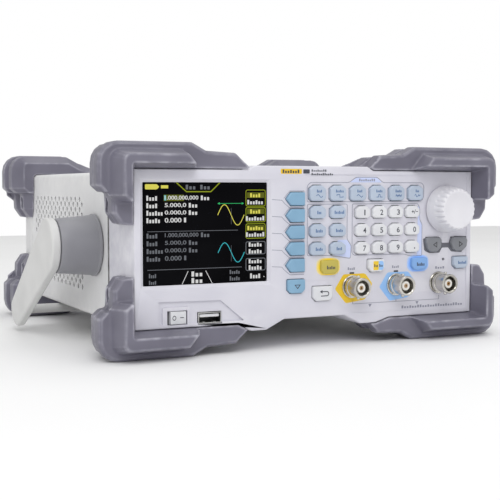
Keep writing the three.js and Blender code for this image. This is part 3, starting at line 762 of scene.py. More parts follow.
def rear_moulding():
    """The rear panel, with plated bushes on its three round sockets."""
    bm = cad_copy("rear_panel")
    low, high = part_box("rear_panel")

    def on_rim(edge):
        ends = [v.co for v in edge.verts]
        flat = all(abs(p.y - (PANEL_FACE + REAR_FACE * MM)) < 0.1 * MM for p in ends)
        outside = all(
            min(p.x - low[0], high[0] - p.x, p.z - low[2], high[2] - p.z) < REAR_RIM_WIDTH * MM
            for p in ends
        )
        return flat and outside

    break_edges(bm, 0.6, 3, on_rim)
    paint_where(bm, lambda x, y, z: y > REAR_FACE + 0.6, 1)
    piece("rear_moulding", bm, [PAINT, NICKEL], CASE, ["rear_panel"])
    for number, x in enumerate(REAR_SOCKETS):
        place = at(x, REAR_FACE, REAR_SOCKET_HEIGHT)
        bm = bmesh.new()
        revolved(bm, [(4.1, 4.2), (4.1, 5.9), (3.6, 6.3), (2.7, 6.3), (2.5, 5.2)], place, steps=32)
        revolved(bm, [(6.4, 0.1), (6.4, 1.2), (5.6, 1.8), (4.9, 1.8)], place, steps=6)
        revolved(bm, [(0.9, 5), (0.9, 6.4), (0.6, 6.9), (0.1, 7)], place, steps=16, material=1)
        piece(f"rear_socket_{number + 1}", bm, [NICKEL, GOLD], CASE)


def inlet():
    """The black mains inlet with its three flat pins."""
    bm = cad_copy("mains_inlet")
    break_edges(bm, 0.25, 2, None, 50)
    piece("inlet_moulding", bm, [BLACK], CASE, ["mains_inlet"])
    for number, (dx, dz) in enumerate(((-7, -2), (0, 2), (7, -2))):
        bm = bmesh.new()
        x, z = INLET_X + dx, INLET_HEIGHT + dz
        block(bm, (x - 1.06, 209.6, z - 2.06), (x + 1.06, 221.0, z + 2.06), round_by=0.5)
        piece(f"inlet_pin_{number + 1}", bm, [STEEL], CASE)


def fan():
    """The black rotor behind the grille."""
    bm = cad_copy("fan_rotor")
    break_edges(bm, 0.25, 2, None, 50)
    piece("fan_moulding", bm, [BLACK], "fan", ["fan_rotor"])


def inside_boards():
    """The boards on their posts; every block above a board is a part in its own colour."""
    for node, name in (("main_board", "main_circuit"), ("power_supply", "supply_circuit")):
        bm = cad_copy(node)
        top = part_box(node)[0][2] / MM + 6.7
        break_edges(bm, 0.2, 1, None, 60)
        paint_where(bm, lambda x, y, z: z > top + 0.05, 1)
        paint_where(bm, lambda x, y, z: z > top + 6.5, 2)
        paint_where(bm, lambda x, y, z: z < top - 1.75, 3)
        piece(name, bm, [BOARD, BLACK, INSULATOR, STEEL], CASE, [node])


def screw(bm, centre, axis, radius=2.0, material=0):
    """A pan-head screw with a round recess, its head facing along x or y by the sign of axis."""
    along = "X" if abs(axis[0]) else "Y"
    sign = axis[0] or axis[1]
    profile = [(radius, 0), (radius, 0.5), (radius * 0.8, 0.95), (radius * 0.45, 1.1), (radius * 0.4, 0.5)]
    revolved(bm, [(r, sign * d) for r, d in profile], centre, along, 24, material=material)


def case_screws():
    """Screws in the bumper slots and along the rear edge."""
    bm = bmesh.new()
    for side in (-1, 1):
        for z in (79.3, 32.7):
            screw(bm, at(side * 110.2, 16.5, z), (side, 0), 1.9)
        for z in (77.9, 32.7):
            screw(bm, at(side * 108.4, 207.5, z), (side, 0), 1.9)
    piece("bumper_screws", bm, [STEEL], CASE)
    bm = bmesh.new()
    for x, z in ((-20, 90), (92, 60), (-20, 22), (92, 22)):
        screw(bm, at(x, REAR_FACE, z), (0, 1), 2.1)
    for x in (INLET_X - 20, INLET_X + 20):
        screw(bm, at(x, REAR_FACE, INLET_HEIGHT), (0, 1), 1.7)
    piece("rear_screws", bm, [STEEL], CASE)


# --- bumpers ------------------------------------------------------------------------------------

BUMPER_SKIN = 0.6
BUMPER_SMOOTHING = 2


def bumpers():
    """Rubber corners: the solids' facets melted into one continuous skin."""
    for end in ("front", "rear"):
        for side in ("left", "right"):
            for level in ("top", "bottom"):
                node = f"{end}_{side}_{level}_bumper"
                bm = cad_copy(node)
                corner = piece(f"{node}_rubber", bm, [RUBBER], CASE, [node], 180)
                skin = corner.modifiers.new("Skin", "REMESH")
                skin.mode = "VOXEL"
                skin.voxel_size = BUMPER_SKIN * MM
                skin.use_smooth_shade = True
                melt = corner.modifiers.new("Melt", "SMOOTH")
                melt.iterations = BUMPER_SMOOTHING
                melt.factor = 0.5
                apply_modifiers(corner)
                corner.data.materials.clear()
                corner.data.materials.append(RUBBER)


# --- keys ---------------------------------------------------------------------------------------

def crowned(w, h):
    return [
        (-w / 2, -h / 2 + 1.2), (-w / 2 + 1.5, -h / 2), (w / 2 - 1.5, -h / 2), (w / 2, -h / 2 + 1.2),
        (w / 2, h / 2 - 1.9), (w * 0.24, h / 2), (-w * 0.24, h / 2), (-w / 2, h / 2 - 1.9),
    ]


def chamfered(w, h):
    return [
        (-w / 2, -h / 2 + 2), (-w / 2 + 2, -h / 2), (w / 2 - 2, -h / 2), (w / 2, -h / 2 + 2),
        (w / 2, h / 2 - 0.6), (w / 2 - 0.6, h / 2), (-w / 2 + 0.6, h / 2), (-w / 2, h / 2 - 0.6),
    ]


def pointed_left(w, h):
    return [(-w / 2, 0), (-w / 2 + 3, -h / 2), (w / 2, -h / 2), (w / 2, h / 2), (-w / 2 + 3, h / 2)]


def pointed_both_ways(w, h):
    return [
        (-w / 2, h / 2 - 2.6), (-w / 2 + 1.5, -h / 2 + 1.4), (-w / 2 + 3.6, -h / 2),
        (w / 2 - 3.6, -h / 2), (w / 2 - 0.6, -h / 2 + 2.6), (w / 2, h / 2 - 1.6),
        (w / 2 - 1.4, h / 2), (-w / 2 + 1, h / 2),
    ]


def key_place(node):
    """Middle and size of a key's cap in millimetres, from the solid with its hidden flange."""
    low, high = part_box(node)
    width = (high[0] - low[0]) / MM - 2 * KEY_FLANGE
    height = (high[2] - low[2]) / MM - 2 * KEY_FLANGE
    return (low[0] + high[0]) / 2 / MM, (low[2] + high[2]) / 2 / MM, width, height


def key_cap(node, shape, finish):
    """A sprung key: straight sides, a rounded shoulder and a slightly domed top."""
    x, z, width, height = key_place(node)
    outline = softened(shape(width, height), 0.7, 4)
    rings = []
    for shrink, depth in (
        (0, 3.9), (0, -KEY_PROUD + KEY_ROUND), (0.07, -KEY_PROUD + 0.45), (0.24, -KEY_PROUD + 0.22),
        (0.5, -KEY_PROUD + 0.08), (0.9, -KEY_PROUD + 0.02), (1.5, -KEY_PROUD),
    ):
        rings.append([at(x + p.x, depth, z + p.y) for p in shrunk(outline, shrink)])
    bm = bmesh.new()
    loft(bm, rings)
    piece(f"{node}_cap", bm, [finish], node.replace("_key", ""), [node], 50)


def key_mark(node, draw, finish):
    """A printed mark on a key's top, drawn about the key's middle."""
    x, z, _, _ = key_place(node)
    bm = bmesh.new()
    draw(bm, x, z)
    piece(f"{node}_mark", bm, [finish], node.replace("_key", ""))


STROKE_WEIGHT = 0.014
BLOCK_WIDTH = 0.64
BLOCK_RISES = (1, 0.66, 0.66, 0.9, 0.66, 0.66, 1)
MARK_FRONT = -KEY_PROUD - 0.04
MARK_BACK = -KEY_PROUD + 0.03


def key_line(bm, points, width, x, z, closed=False):
    strip(bm, [(x + px, z + pz) for px, pz in points], width, MARK_FRONT, MARK_BACK, closed)


def greeked(bm, left, right, low, high, letters, front, back, material=0):
    """A word shown only as a row of small plain blocks, so that it spells nothing."""
    pitch = (right - left) / letters
    for i in range(letters):
        start = left + i * pitch
        rise = BLOCK_RISES[i % len(BLOCK_RISES)]
        plate(bm, rectangle(start, start + pitch * BLOCK_WIDTH, low, low + (high - low) * rise),
              front, back, material)


def numerals(bm, text, left, right, low, high, front, back, material=0):
    """Digits, set to fill a box that faces the front."""
    curve = bpy.data.curves.new("numerals", "FONT")
    curve.body = text
    curve.offset = STROKE_WEIGHT
    maker = bpy.data.objects.new("numerals", curve)
    scene.collection.objects.link(maker)
    bpy.context.view_layer.update()
    mesh = maker.to_mesh()
    flat = bmesh.new()
    flat.from_mesh(mesh)
    maker.to_mesh_clear()
    bpy.data.objects.remove(maker)
    bpy.data.curves.remove(curve)
    bmesh.ops.remove_doubles(flat, verts=flat.verts, dist=1e-5)
    xs = [v.co.x for v in flat.verts]
    ys = [v.co.y for v in flat.verts]
    wide = (right - left) / (max(xs) - min(xs))
    tall = (high - low) / (max(ys) - min(ys))
    shell = bmesh.ops.extrude_face_region(flat, geom=flat.faces[:])
    lifted = {item for item in shell["geom"] if isinstance(item, bmesh.types.BMVert)}
    for vertex in flat.verts:
        depth = front if vertex in lifted else back
        x = left + (vertex.co.x - min(xs)) * wide
        z = low + (vertex.co.y - min(ys)) * tall
        vertex.co = at(x, depth, z)
    for face in flat.faces:
        face.material_index = material
    merge(bm, flat)


WAVE_SHAPES = {
    "sine": [(-2 + i * 0.25, 0.75 * math.sin(i * math.pi / 8)) for i in range(17)],
    "square": [(-2, 0), (-2, 0.7), (-0.1, 0.7), (-0.1, -0.7), (2, -0.7), (2, 0)],
    "ramp": [(-2, 0), (-1, 0.8), (1, -0.8), (2, 0)],
    "pulse": [(-2, -0.7), (-0.7, -0.7), (-0.5, 0.8), (0.3, 0.8), (0.5, -0.7), (2, -0.7)],
    "noise": [
        (-2 + i * 0.36, (0.75 if i % 2 else -0.6) * (0.6 + 0.4 * math.sin(i * 1.9))) for i in range(12)
    ],
    "arbitrary": [(-2, 0), (-1.3, 0.8), (-0.5, -0.7), (0.3, -0.3), (0.9, 0.6), (1.4, -0.1), (2, 0.5)],
}
WAVE_LETTERS = {"sine": 4, "square": 6, "ramp": 4, "pulse": 5, "noise": 5, "arbitrary": 3}
TASK_LETTERS = {"modulate": 3, "utility": 7, "sweep": 5, "store": 5, "burst": 5, "help": 4}


def waveform_keys():
    """The top row: each key has a block word over a small drawn wave."""
    for wave, points in WAVE_SHAPES.items():
        node = f"{wave}_key"
        key_cap(node, crowned, PALE)

        def draw(bm, x, z, points=points, letters=WAVE_LETTERS[wave]):
            reach = 0.43 * letters
            greeked(bm, x + 0.7 - reach, x + 0.7 + reach, z + 0.35, z + 2.0, letters, MARK_FRONT, MARK_BACK)
            key_line(bm, points, 0.34, x + 0.7, z - 1.55)

        key_mark(node, draw, BLUE_INK)


def task_keys():
    """The six function keys."""
    for task, letters in TASK_LETTERS.items():
        node = f"{task}_key"
        key_cap(node, crowned, PALE)

        def draw(bm, x, z, letters=letters):
            reach = 0.46 * letters
            greeked(bm, x + 0.5 - reach, x + 0.5 + reach, z - 1.1, z + 0.8, letters, MARK_FRONT, MARK_BACK)

        key_mark(node, draw, BLUE_INK)


def number_keys():
    """The digits, the sign key and the point key."""
    for digit in ("1", "2", "3", "4", "5", "6", "7", "8", "9", "0", "sign", "point"):
        node = f"digit_{digit}_key"
        key_cap(node, crowned, WHITE)

        def draw(bm, x, z, digit=digit):
            if digit == "sign":
                key_line(bm, [(-1.2, 0), (0.4, 0)], 0.4, x, z)
                key_line(bm, [(-0.4, -0.8), (-0.4, 0.8)], 0.4, x, z)
                key_line(bm, [(0.6, -1.2), (1.4, 1.2)], 0.36, x, z)
                key_line(bm, [(1.7, 0), (3.1, 0)], 0.4, x, z)
            elif digit == "point":
                plate(bm, circle(x + 1, z - 0.9, 0.42, 12), MARK_FRONT, MARK_BACK)
            else:
                narrow = 0.38 if digit == "1" else 0.98
                numerals(bm, digit, x + 0.9 - narrow, x + 0.9 + narrow, z - 1.75, z + 1.35,
                         MARK_FRONT, MARK_BACK)

        key_mark(node, draw, DARK_INK)


def menu_keys():
    """The keys beside the display, and the key that steps back."""
    for row in range(1, 6):
        key_cap(f"soft_key_{row}", pointed_left, SOFT)
    key_cap("page_key", chamfered, SOFT)
    key_mark("page_key", lambda bm, x, z: key_line(
        bm, [(-1.2, 0.8), (2, 0.8), (0.4, -1.1)], 0.42, x, z, True), DARK_INK)
    key_cap("back_key", chamfered, WHITE)

    def hook(bm, x, z):
        arc = [(2.2 + 1.2 * math.cos(a * math.pi / 8), -0.1 + 1.2 * math.sin(a * math.pi / 8))
               for a in range(4, -5, -1)]
        key_line(bm, [(-1, 1.1)] + arc + [(-1.6, -1.3)], 0.5, x, z)
        plate(bm, [(x - 2.3, z + 1.1), (x - 0.6, z + 2.1), (x - 0.6, z + 0.1)], MARK_FRONT, MARK_BACK)

    key_mark("back_key", hook, DARK_INK)


def output_keys():
    """The two lit output keys, the channel key in two colours and the counter key."""
    for node, finish, slot in (
        ("output_1_key", YELLOW_KEY, "yellow_key"), ("output_2_key", BLUE_KEY, "blue_key"),
    ):
        key_cap(node, chamfered, finish)
        key_mark(node, lambda bm, x, z: greeked(
            bm, x - 2.2, x + 3.4, z - 1.2, z + 0.9, 6, MARK_FRONT, MARK_BACK), DARK_INK)
    key_cap("counter_key", chamfered, PALE)
    key_mark("counter_key", lambda bm, x, z: greeked(
        bm, x - 2.2, x + 4, z - 0.9, z + 0.9, 7, MARK_FRONT, MARK_BACK), BLUE_INK)
    key_cap("channel_key", chamfered, WHITE)
    x, z, _, height = key_place("channel_key")
    bm = bmesh.new()
    low = z - height / 2 + 1
    high = z + height / 2 - 1
    plate(bm, softened([(x - 2.4, low), (x + 1.1, low), (x + 1.1, high), (x - 2.4, high)], 0.5), MARK_FRONT,
          MARK_BACK, 0)
    plate(bm, softened([(x + 1.15, low), (x + 3.8, low), (x + 4.4, low + 1), (x + 4.4, high - 1),
                        (x + 3.8, high), (x + 1.15, high)], 0.5), MARK_FRONT, MARK_BACK, 1)
    greeked(bm, x - 1.9, x + 0.8, z - 0.8, z + 0.9, 3, MARK_FRONT - 0.03, MARK_BACK, 2)
    greeked(bm, x + 1.5, x + 4, z - 0.8, z + 0.9, 3, MARK_FRONT - 0.03, MARK_BACK, 2)
    piece("channel_key_mark", bm, [YELLOW_INK, AZURE_INK, DARK_INK], "channel")


def arrow_keys():
    """The two keys that move the cursor."""
    for side, node in ((-1, "left_arrow_key"), (1, "right_arrow_key")):
        key_cap(node, pointed_both_ways, ARROW)
        key_mark(node, lambda bm, x, z, side=side: key_line(
            bm, [(0.6 + side * 1.3, 0), (0.6 - side * 1.0, 1.4), (0.6 - side * 1.0, -1.4)], 0.4, x, z, True),
            BLACK)


# --- dial, rocker and sockets ---------------------------------------------------------------------

DIAL_SCALLOPS = 24


def dial():
    """The knob: a plain skirt, a fluted waist and a dished face."""
    low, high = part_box("dial_knob")
    centre = at((low[0] + high[0]) / 2 / MM, 0, (low[2] + high[2]) / 2 / MM)
    bm = bmesh.new()
    profile = [
        (3, 7.3), (3, -0.65), (13.3, -0.65), (13.75, -0.95), (13.75, -1.8), (13.35, -4.4),
        (12.95, -6.6), (12.85, -7.2), (12.8, -7.8), (12.5, -9.6), (12.15, -11.6), (11.85, -12.6),
        (11.4, -13.25), (10.8, -13.6), (10.2, -13.68), (9.7, -13.62), (9.2, -13.4), (4, -13.2),
        (0.6, -13.18),
    ]
    revolved(bm, profile, centre, steps=192, waves=DIAL_SCALLOPS, depth=0.85, wavy=range(8, 13))
    piece("dial_cap", bm, [DIAL], "dial", ["dial_knob"], 40)


ROCKER_PIN = (-82.8, 3.6, 20.95)
ROCKER_TILT = math.radians(8)
ROCKER_RIDGE = -2.9
ROCKER_SLOPE = 0.9 / 4.6
RING_PLACE = -2.3
RING_OUTER = 1.25
RING_INNER = 0.85
RING_STEPS = 28
INK_UNDER = 0.03
INK_TOP = -0.04


def rocker_place(u, v, w):
    """A point of the rocker from its own width, depth and height about its pin."""
    turned = Matrix.Rotation(ROCKER_TILT, 3, "Z") @ Vector((u, v, w))
    return at(ROCKER_PIN[0] + turned.x, ROCKER_PIN[1] + turned.y, ROCKER_PIN[2] + turned.z)


def rocker_print(u, lift, w):
    """A point on one of the rocker's two slopes, lifted off it by a little."""
    return rocker_place(u, ROCKER_RIDGE - abs(u) * ROCKER_SLOPE + lift, w)


def rocker():
    """The power rocker, with a ring and a bar printed on its two slopes."""
    bm = cad_copy("power_rocker")
    break_edges(bm, 0.35, 3)
    piece("rocker_cap", bm, [WHITE], "rocker", ["power_rocker"])
    bm = bmesh.new()
    loops = []
    for radius, lift in (
        (RING_OUTER, INK_UNDER), (RING_OUTER, INK_TOP), (RING_INNER, INK_TOP), (RING_INNER, INK_UNDER),
    ):
        ring = circle(RING_PLACE, 0, radius, RING_STEPS)
        loops.append([bm.verts.new(rocker_print(p.x, lift, p.y)) for p in ring])
    for near, far in zip(loops, loops[1:] + loops[:1]):
        for i in range(RING_STEPS):
            j = (i + 1) % RING_STEPS
            bm.faces.new((near[i], near[j], far[j], far[i]))
    bar = rectangle(1.3, 3.3, -0.2, 0.2)
    loft(bm, [[rocker_print(p.x, lift, p.y) for p in bar] for lift in (INK_UNDER, INK_TOP)])
    piece("rocker_marks", bm, [DARK_INK], "rocker")


def bayonet_socket(number, x, z):
    """One coaxial socket: nut, plated barrel with two lugs, white insulator and centre contact."""
    centre = at(x, 0, z)
    bm = bmesh.new()
    revolved(bm, [
        (5.5, 2.2), (5.5, 0.35), (6.35, 0.35), (6.45, 0.2), (6.45, -0.5), (6.2, -0.75), (5.6, -0.75),
    ], centre, steps=48)
    piece(f"socket_{number}_washer", bm, [NICKEL], CASE)
    bm = bmesh.new()
    revolved(bm, [
        (5.2, 2.6), (5.2, -1), (5.62, -1.2), (5.62, -3.2), (5.0, -3.5), (5.0, -4.1), (5.4, -4.4),
        (5.4, -9.6), (5.62, -9.9), (5.62, -11.1), (5.35, -11.48), (4.5, -11.48), (4.15, -11.1),
        (4.1, -2.2), (3.9, -2.2),
    ], centre, steps=64)
    for up in (-1, 1):
        # A lug is a short round peg, built along x and turned upright.
        lug = bmesh.new()
        revolved(lug, [(0.95, 5.0), (0.95, 6.35), (0.7, 6.62), (0.2, 6.62)], Vector((0, 0, 0)), "X", 20)
        turn = Matrix.Rotation(-up * math.pi / 2, 4, "Y")
        bmesh.ops.transform(lug, matrix=Matrix.Translation(at(x, -6.6, z)) @ turn, verts=lug.verts)
        merge(bm, lug)
    nodes = ["coaxial_sockets"] if number == 1 else []
    piece(f"socket_{number}_barrel", bm, [NICKEL], CASE, nodes, 35)
    bm = bmesh.new()
    revolved(bm, [(4.05, -2.0), (4.05, -2.6), (2.7, -2.7), (2.7, -9.6), (2.45, -9.9), (1.35, -9.9),
                  (1.25, -9.6), (1.2, -3)], centre, steps=40)
    piece(f"socket_{number}_insulator", bm, [INSULATOR], CASE)
    bm = bmesh.new()
    revolved(bm, [(1.15, -2.2), (1.15, -9.7), (0.95, -9.95), (0.55, -9.95), (0.5, -9.5), (0.45, -6)],
             centre, steps=28)
    piece(f"socket_{number}_contact", bm, [GOLD], CASE)


def sockets():
    """The two outputs and the counter's input."""
    for number in (1, 2, 3):
        bayonet_socket(number, SOCKET_FIRST + (number - 1) * SOCKET_PITCH, SOCKET_HEIGHT)


def serial_socket():
    """The steel shell, springs, tongue and contacts of the serial socket, and the board behind."""
    x, z = SERIAL_X, SERIAL_HEIGHT
    width, height = SERIAL_SIZE
    front_outline = softened(rectangle(x - width / 2, x + width / 2, z - height / 2, z + height / 2), 0.5)
    bm = bmesh.new()
    rings = []
    for shrink, depth in (
        (0, 9.4), (0, 0.62), (0.12, 0.5), (0.38, 0.5), (SERIAL_WALL, 0.62), (SERIAL_WALL, 7.9),
    ):
        rings.append([at(p.x, depth, p.y) for p in inset(front_outline, shrink)])
    loft(bm, rings)
    for dx in (-3, 3):
        for up in (-1, 1):
            wall = z + up * (height / 2 - SERIAL_WALL)
            low, high = sorted((wall, wall - up * 0.35))
            block(bm, (x + dx - 0.9, 1.2, low), (x + dx + 0.9, 4.4, high))
    # The shell's inner walls past 2 mm and its back take the black second finish: painted shade inside the
    # socket's mouth.
    paint_where(
        bm, lambda u, y, w: y > 2 and abs(u - x) < width / 2 - 0.4 and abs(w - z) < height / 2 - 0.4, 1,
    )
    piece("serial_shell", bm, [STEEL, BLACK], CASE)
    bm = bmesh.new()
    block(bm, (x - 5.6, 1.2, z + 0.4), (x + 5.6, 8.6, z + 2), round_by=0.2)
    piece("serial_tongue", bm, [WHITE], CASE)
    bm = bmesh.new()
    for i in range(4):
        block(bm, (x - 4 + i * 2.4, 1.5, z + 0.32), (x - 3 + i * 2.4, 7, z + 0.45), round_by=0.04)
    piece("serial_contacts", bm, [GOLD], CASE)
    bm = bmesh.new()
    low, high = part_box("front_board")
    block(bm, (low[0] / MM, 9, low[2] / MM), (high[0] / MM, 10.6, high[2] / MM), round_by=0.2)
    block(bm, (80.7, 7.7, 70), (92.7, 9.5, 82), 1, 0.3)
    piece("front_circuit", bm, [BOARD, BLACK], CASE, ["front_board"])


# --- handle ---------------------------------------------------------------------------------------

HUB_PROFILE = [
    (5, -8), (5, 0), (17.2, 0), (17.5, 0.3), (17.5, 1.2), (17.2, 1.5), (16.95, 1.75), (16.9, 2.1),
    (16.2, 9), (15.5, 18), (15.25, 21.4), (14.9, 22.3), (14.3, 22.55), (5, 22.6), (0.5, 22.6),
]


def hubs():
    """The tapered pivots between the case and the arms."""
    for side, node in ((-1, "left_hub"), (1, "right_hub")):
        bm = bmesh.new()
        turned = [(radius, side * (HUB_START + along)) for radius, along in HUB_PROFILE]
        revolved(bm, turned, at(0, HINGE_DEPTH, HINGE_HEIGHT), "X", 96)
        piece(f"{node}_turning", bm, [HUB], "handle", [node], 35)


def handle():
    """The two arms and the bar that joins them, in one moulding."""
    bm = cad_copy("carry_handle")
    break_edges(bm, 0.45, 3, None, 28)
    piece("handle_bail", bm, [ARM], "handle", ["carry_handle"], 45)


# --- what is printed on the panel -----------------------------------------------------------------

HEXAGON = [(12.9, 31.8), (18, 39.3), (31.3, 39.4), (35.9, 33.8), (31.4, 25.6), (19.5, 24.1)]
PRINT_FRONT = PLATE_DEPTH - PRINT_LIFT - PRINT_THICKNESS
PRINT_BACK = PLATE_DEPTH + 0.04


def print_plate(bm, points, order=0, material=0):
    plate(bm, points, PRINT_FRONT - order * 0.02, PRINT_BACK, material)


def print_line(bm, points, width=LINE_WIDTH, closed=False, order=1, material=0):
    strip(bm, points, width, PRINT_FRONT - order * 0.02, PRINT_BACK, closed, material)


def group_frames():
    """The outlines that gather the keys into groups, with their tinted corners."""
    waves = softened([
        (-6, 80.6), (70, 80.6), (71.8, 83), (71.8, 89.6), (70.2, 91.3), (43.6, 91.3), (39.6, 94.3),
        (25.6, 94.3), (20.8, 91.3), (-4, 91.3), (-5.9, 89.4),
    ], 1.2)
    tasks = softened([
        (-5.8, 79.3), (-5.8, 51), (8.4, 50.8), (22, 48.7), (22.5, 56), (19.8, 59.6), (19.8, 79.3),
    ], 1)
    digits = softened([
        (23.1, 79.3), (23.1, 51.6), (24.4, 50.4), (58, 50.2), (63, 48.9), (70.8, 48.9), (70.8, 67.2),
        (69.1, 70), (69.1, 76.8), (67.5, 79.3),
    ], 1)
    bm = bmesh.new()
    for outline in (waves, tasks, digits):
        print_line(bm, outline, 0.3, True, 2)
    piece("group_outlines", bm, [GREY_INK], CASE)
    bm = bmesh.new()
    print_plate(bm, softened([(21.6, 91.4), (42.8, 91.4), (39.3, 94.1), (26, 94.1)], 0.8), 1)
    print_plate(bm, softened([(9.5, 51.2), (21.9, 49.1), (22.3, 56), (19.6, 59.3), (14, 59.3)], 0.8), 1)
    print_plate(bm, softened([
        (67.4, 49.2), (70.6, 49.2), (70.6, 67), (69, 69.8), (69, 76.5), (67.9, 78),
    ], 0.6), 1)
    piece("group_tints", bm, [SKY_INK], CASE)


def socket_surrounds():
    """Coloured hexagons behind the outputs, and the small keyway slots above them."""
    for number, finish, shift in ((1, YELLOW_INK, 0), (2, AZURE_INK, 29.5)):
        bm = bmesh.new()
        middle = Vector((24.3 + shift, 32.2))
        wider = [middle + (Vector((x + shift, z)) - middle) * 1.08 for x, z in HEXAGON]
        print_plate(bm, softened(wider, 1.2), 1)
        piece(f"output_{number}_surround", bm, [finish], CASE)
    bm = bmesh.new()
    for x in (SOCKET_FIRST, SOCKET_FIRST + SOCKET_PITCH):
        print_plate(bm, softened(rectangle(x - 1.5, x + 1.5, 40, 40.9), 0.3), 3)
    piece("keyway_slots", bm, [BLACK], CASE)


def lit_patches():
    """Soft coloured light round the two output keys."""
    for number, finish, centre in ((1, YELLOW_GLOW, (7.6, 44.5)), (2, BLUE_GLOW, (68.1, 44.4))):
        bm = bmesh.new()
        outline = softened([
            (centre[0] - 7.6, centre[1] - 2.4), (centre[0] - 5, centre[1] - 4.7),
            (centre[0] + 5, centre[1] - 4.7), (centre[0] + 7.6, centre[1] - 2.4),
            (centre[0] + 7.4, centre[1] + 3.4), (centre[0] + 4.6, centre[1] + 4.9),
            (centre[0] - 4.6, centre[1] + 4.9), (centre[0] - 7.4, centre[1] + 3.4),
        ], 2)
        print_plate(bm, outline, 1)
        piece(f"output_{number}_halo", bm, [finish], CASE)


def panel_lines():
    """Leader lines to the menu keys, the bracket under the sockets and small marks."""
    bm = bmesh.new()
    for row in range(5):
        z = 82.3 - row * 9.07
        strip(bm, [(-27.8, z - 0.3), (-21.8, z - 0.7), (-20.2, z - 2.4), (-16.8, z - 5.1), (-8, z - 5.1)],
              0.3, -0.05, 0.05)
        strip(bm, [(-20.6, z + 0.4), (-17, z + 4.4), (-8, z + 4.4)], 0.22, -0.05, 0.05)
    print_line(bm, [(23.7, 25.2), (23.7, 22.9), (83.3, 22.9), (83.3, 25.2)], 0.28, order=1)
    print_line(bm, [(53, 22.9), (53, 24.6)], 0.28, order=1)
    for x in (35.3, 67.8):
        print_plate(bm, [(x - 1.1, 22.3), (x + 1.1, 22.3), (x, 20.5)], 1)
    piece("panel_lines", bm, [GREY_INK], CASE)
    bm = bmesh.new()
    for left, right, z in ((20.4, 25.4, 42.2), (50.2, 55.2, 42.3), (80.6, 87.6, 40.8)):
        greeked(bm, left, right, z, z + 1.5, 4, PRINT_FRONT, PRINT_BACK)
    greeked(bm, 27.5, 38.5, 92, 93.5, 8, PRINT_FRONT - 0.06, PRINT_BACK)
    greeked(bm, 57, 101, 18.6, 20.2, 24, PRINT_FRONT, PRINT_BACK)
    piece("small_legends", bm, [GREY_INK], CASE)
    bm = bmesh.new()
    plate(bm, softened(rectangle(-22.5, -9.5, 95.9, 98.6), 0.5), -0.05, 0.05, 0)
    plate(bm, softened(rectangle(-8.6, -4.6, 96.1, 98.4), 0.4), -0.05, 0.05, 1)
    greeked(bm, -21.4, -10.6, 96.3, 98.2, 7, -0.1, 0.02, 1)
    greeked(bm, -3.4, 6.4, 97.2, 98.4, 8, -0.05, 0.05, 1)
    greeked(bm, -3.4, 10.6, 95.3, 96.5, 12, -0.05, 0.05, 1)
    piece("name_strip", bm, [YELLOW_INK, DARK_INK], CASE)


def arrow_well():
    """The dark link-shaped well that holds the two arrow keys."""
    outline = softened([
        (71.6, 58.8), (72.6, 51.8), (76, 50.2), (83.4, 50.2), (85.2, 53.2), (89.8, 53.2), (91.8, 50.8),
        (99.6, 50.2), (104, 56.6), (103.6, 59.6), (94, 60), (90.4, 56), (85.2, 56), (81.8, 59.8),
    ], 0.8)
    bm = bmesh.new()
    print_plate(bm, outline, 1)
    piece("arrow_well", bm, [RECESS], CASE)
    bm = bmesh.new()
    revolved(bm, [(0.75, 0.6), (0.75, 0.05), (0.5, -0.35), (0.1, -0.45)], at(86.1, 0, 46.4), steps=20)
    piece("status_lamp", bm, [RECESS], CASE)


# --- display --------------------------------------------------------------------------------------

UI_FRONT = SCREEN_DEPTH - 0.05
UI_BACK = SCREEN_DEPTH + 0.02


def on_screen(fx, fy):
    """A point of the panel from its share of the display's width and height, from the top left."""
    return Vector((SCREEN_LEFT + fx * SCREEN_WIDTH, SCREEN_TOP - fy * SCREEN_HEIGHT))


def shown_plate(bm, corners, order=0):
    plate(bm, [on_screen(*c) for c in corners], UI_FRONT - order * 0.02, UI_BACK)


def shown_bar(bm, left, right, top, bottom, order=0):
    shown_plate(bm, [(left, bottom), (right, bottom), (right, top), (left, top)], order)


def shown_line(bm, points, width=0.3, closed=False, order=1):
    strip(bm, [on_screen(*p) for p in points], width, UI_FRONT - order * 0.02, UI_BACK, closed)


def shown_word(bm, left, right, top, bottom, letters, order=2):
    a = on_screen(left, bottom)
    b = on_screen(right, top)
    greeked(bm, a.x, b.x, a.y, b.y, letters, UI_FRONT - order * 0.02, UI_BACK)


def shown_numerals(bm, text, left, right, top, bottom, order=2):
    a = on_screen(left, bottom)
    b = on_screen(right, top)
    numerals(bm, text, a.x, b.x, a.y, b.y, UI_FRONT - order * 0.02, UI_BACK)


def shown_wave(bm, left, middle, width, height):
    """One turn of a sine, in shares of the display."""
    points = []
    for i in range(33):
        points.append((left + width * i / 32, middle - height * math.sin(i * math.tau / 32)))
    shown_line(bm, points, 0.38)


def shown(name, finish, draw):
    bm = bmesh.new()
    draw(bm)
    piece(name, bm, [finish], CASE)


VALUE_ROWS = (
    ("1.000,000,000", 0.434, 4, 3), ("5.000,0", 0.338, 4, 3), ("0.000,0", 0.338, 6, 3), ("0.000", 0.30, 5, 1),
)


def value_block(bm, top, pitch):
    """Four rows of label, number and unit."""
    for row, (text, right, letters, unit) in enumerate(VALUE_ROWS):
        y = top + row * pitch
        shown_word(bm, 0.03, 0.035 + 0.021 * letters, y, y + 0.048, letters)
        shown_numerals(bm, text, 0.17, right, y, y + 0.045)
        shown_word(bm, right + 0.02, right + 0.02 + 0.025 * unit, y, y + 0.045, unit)


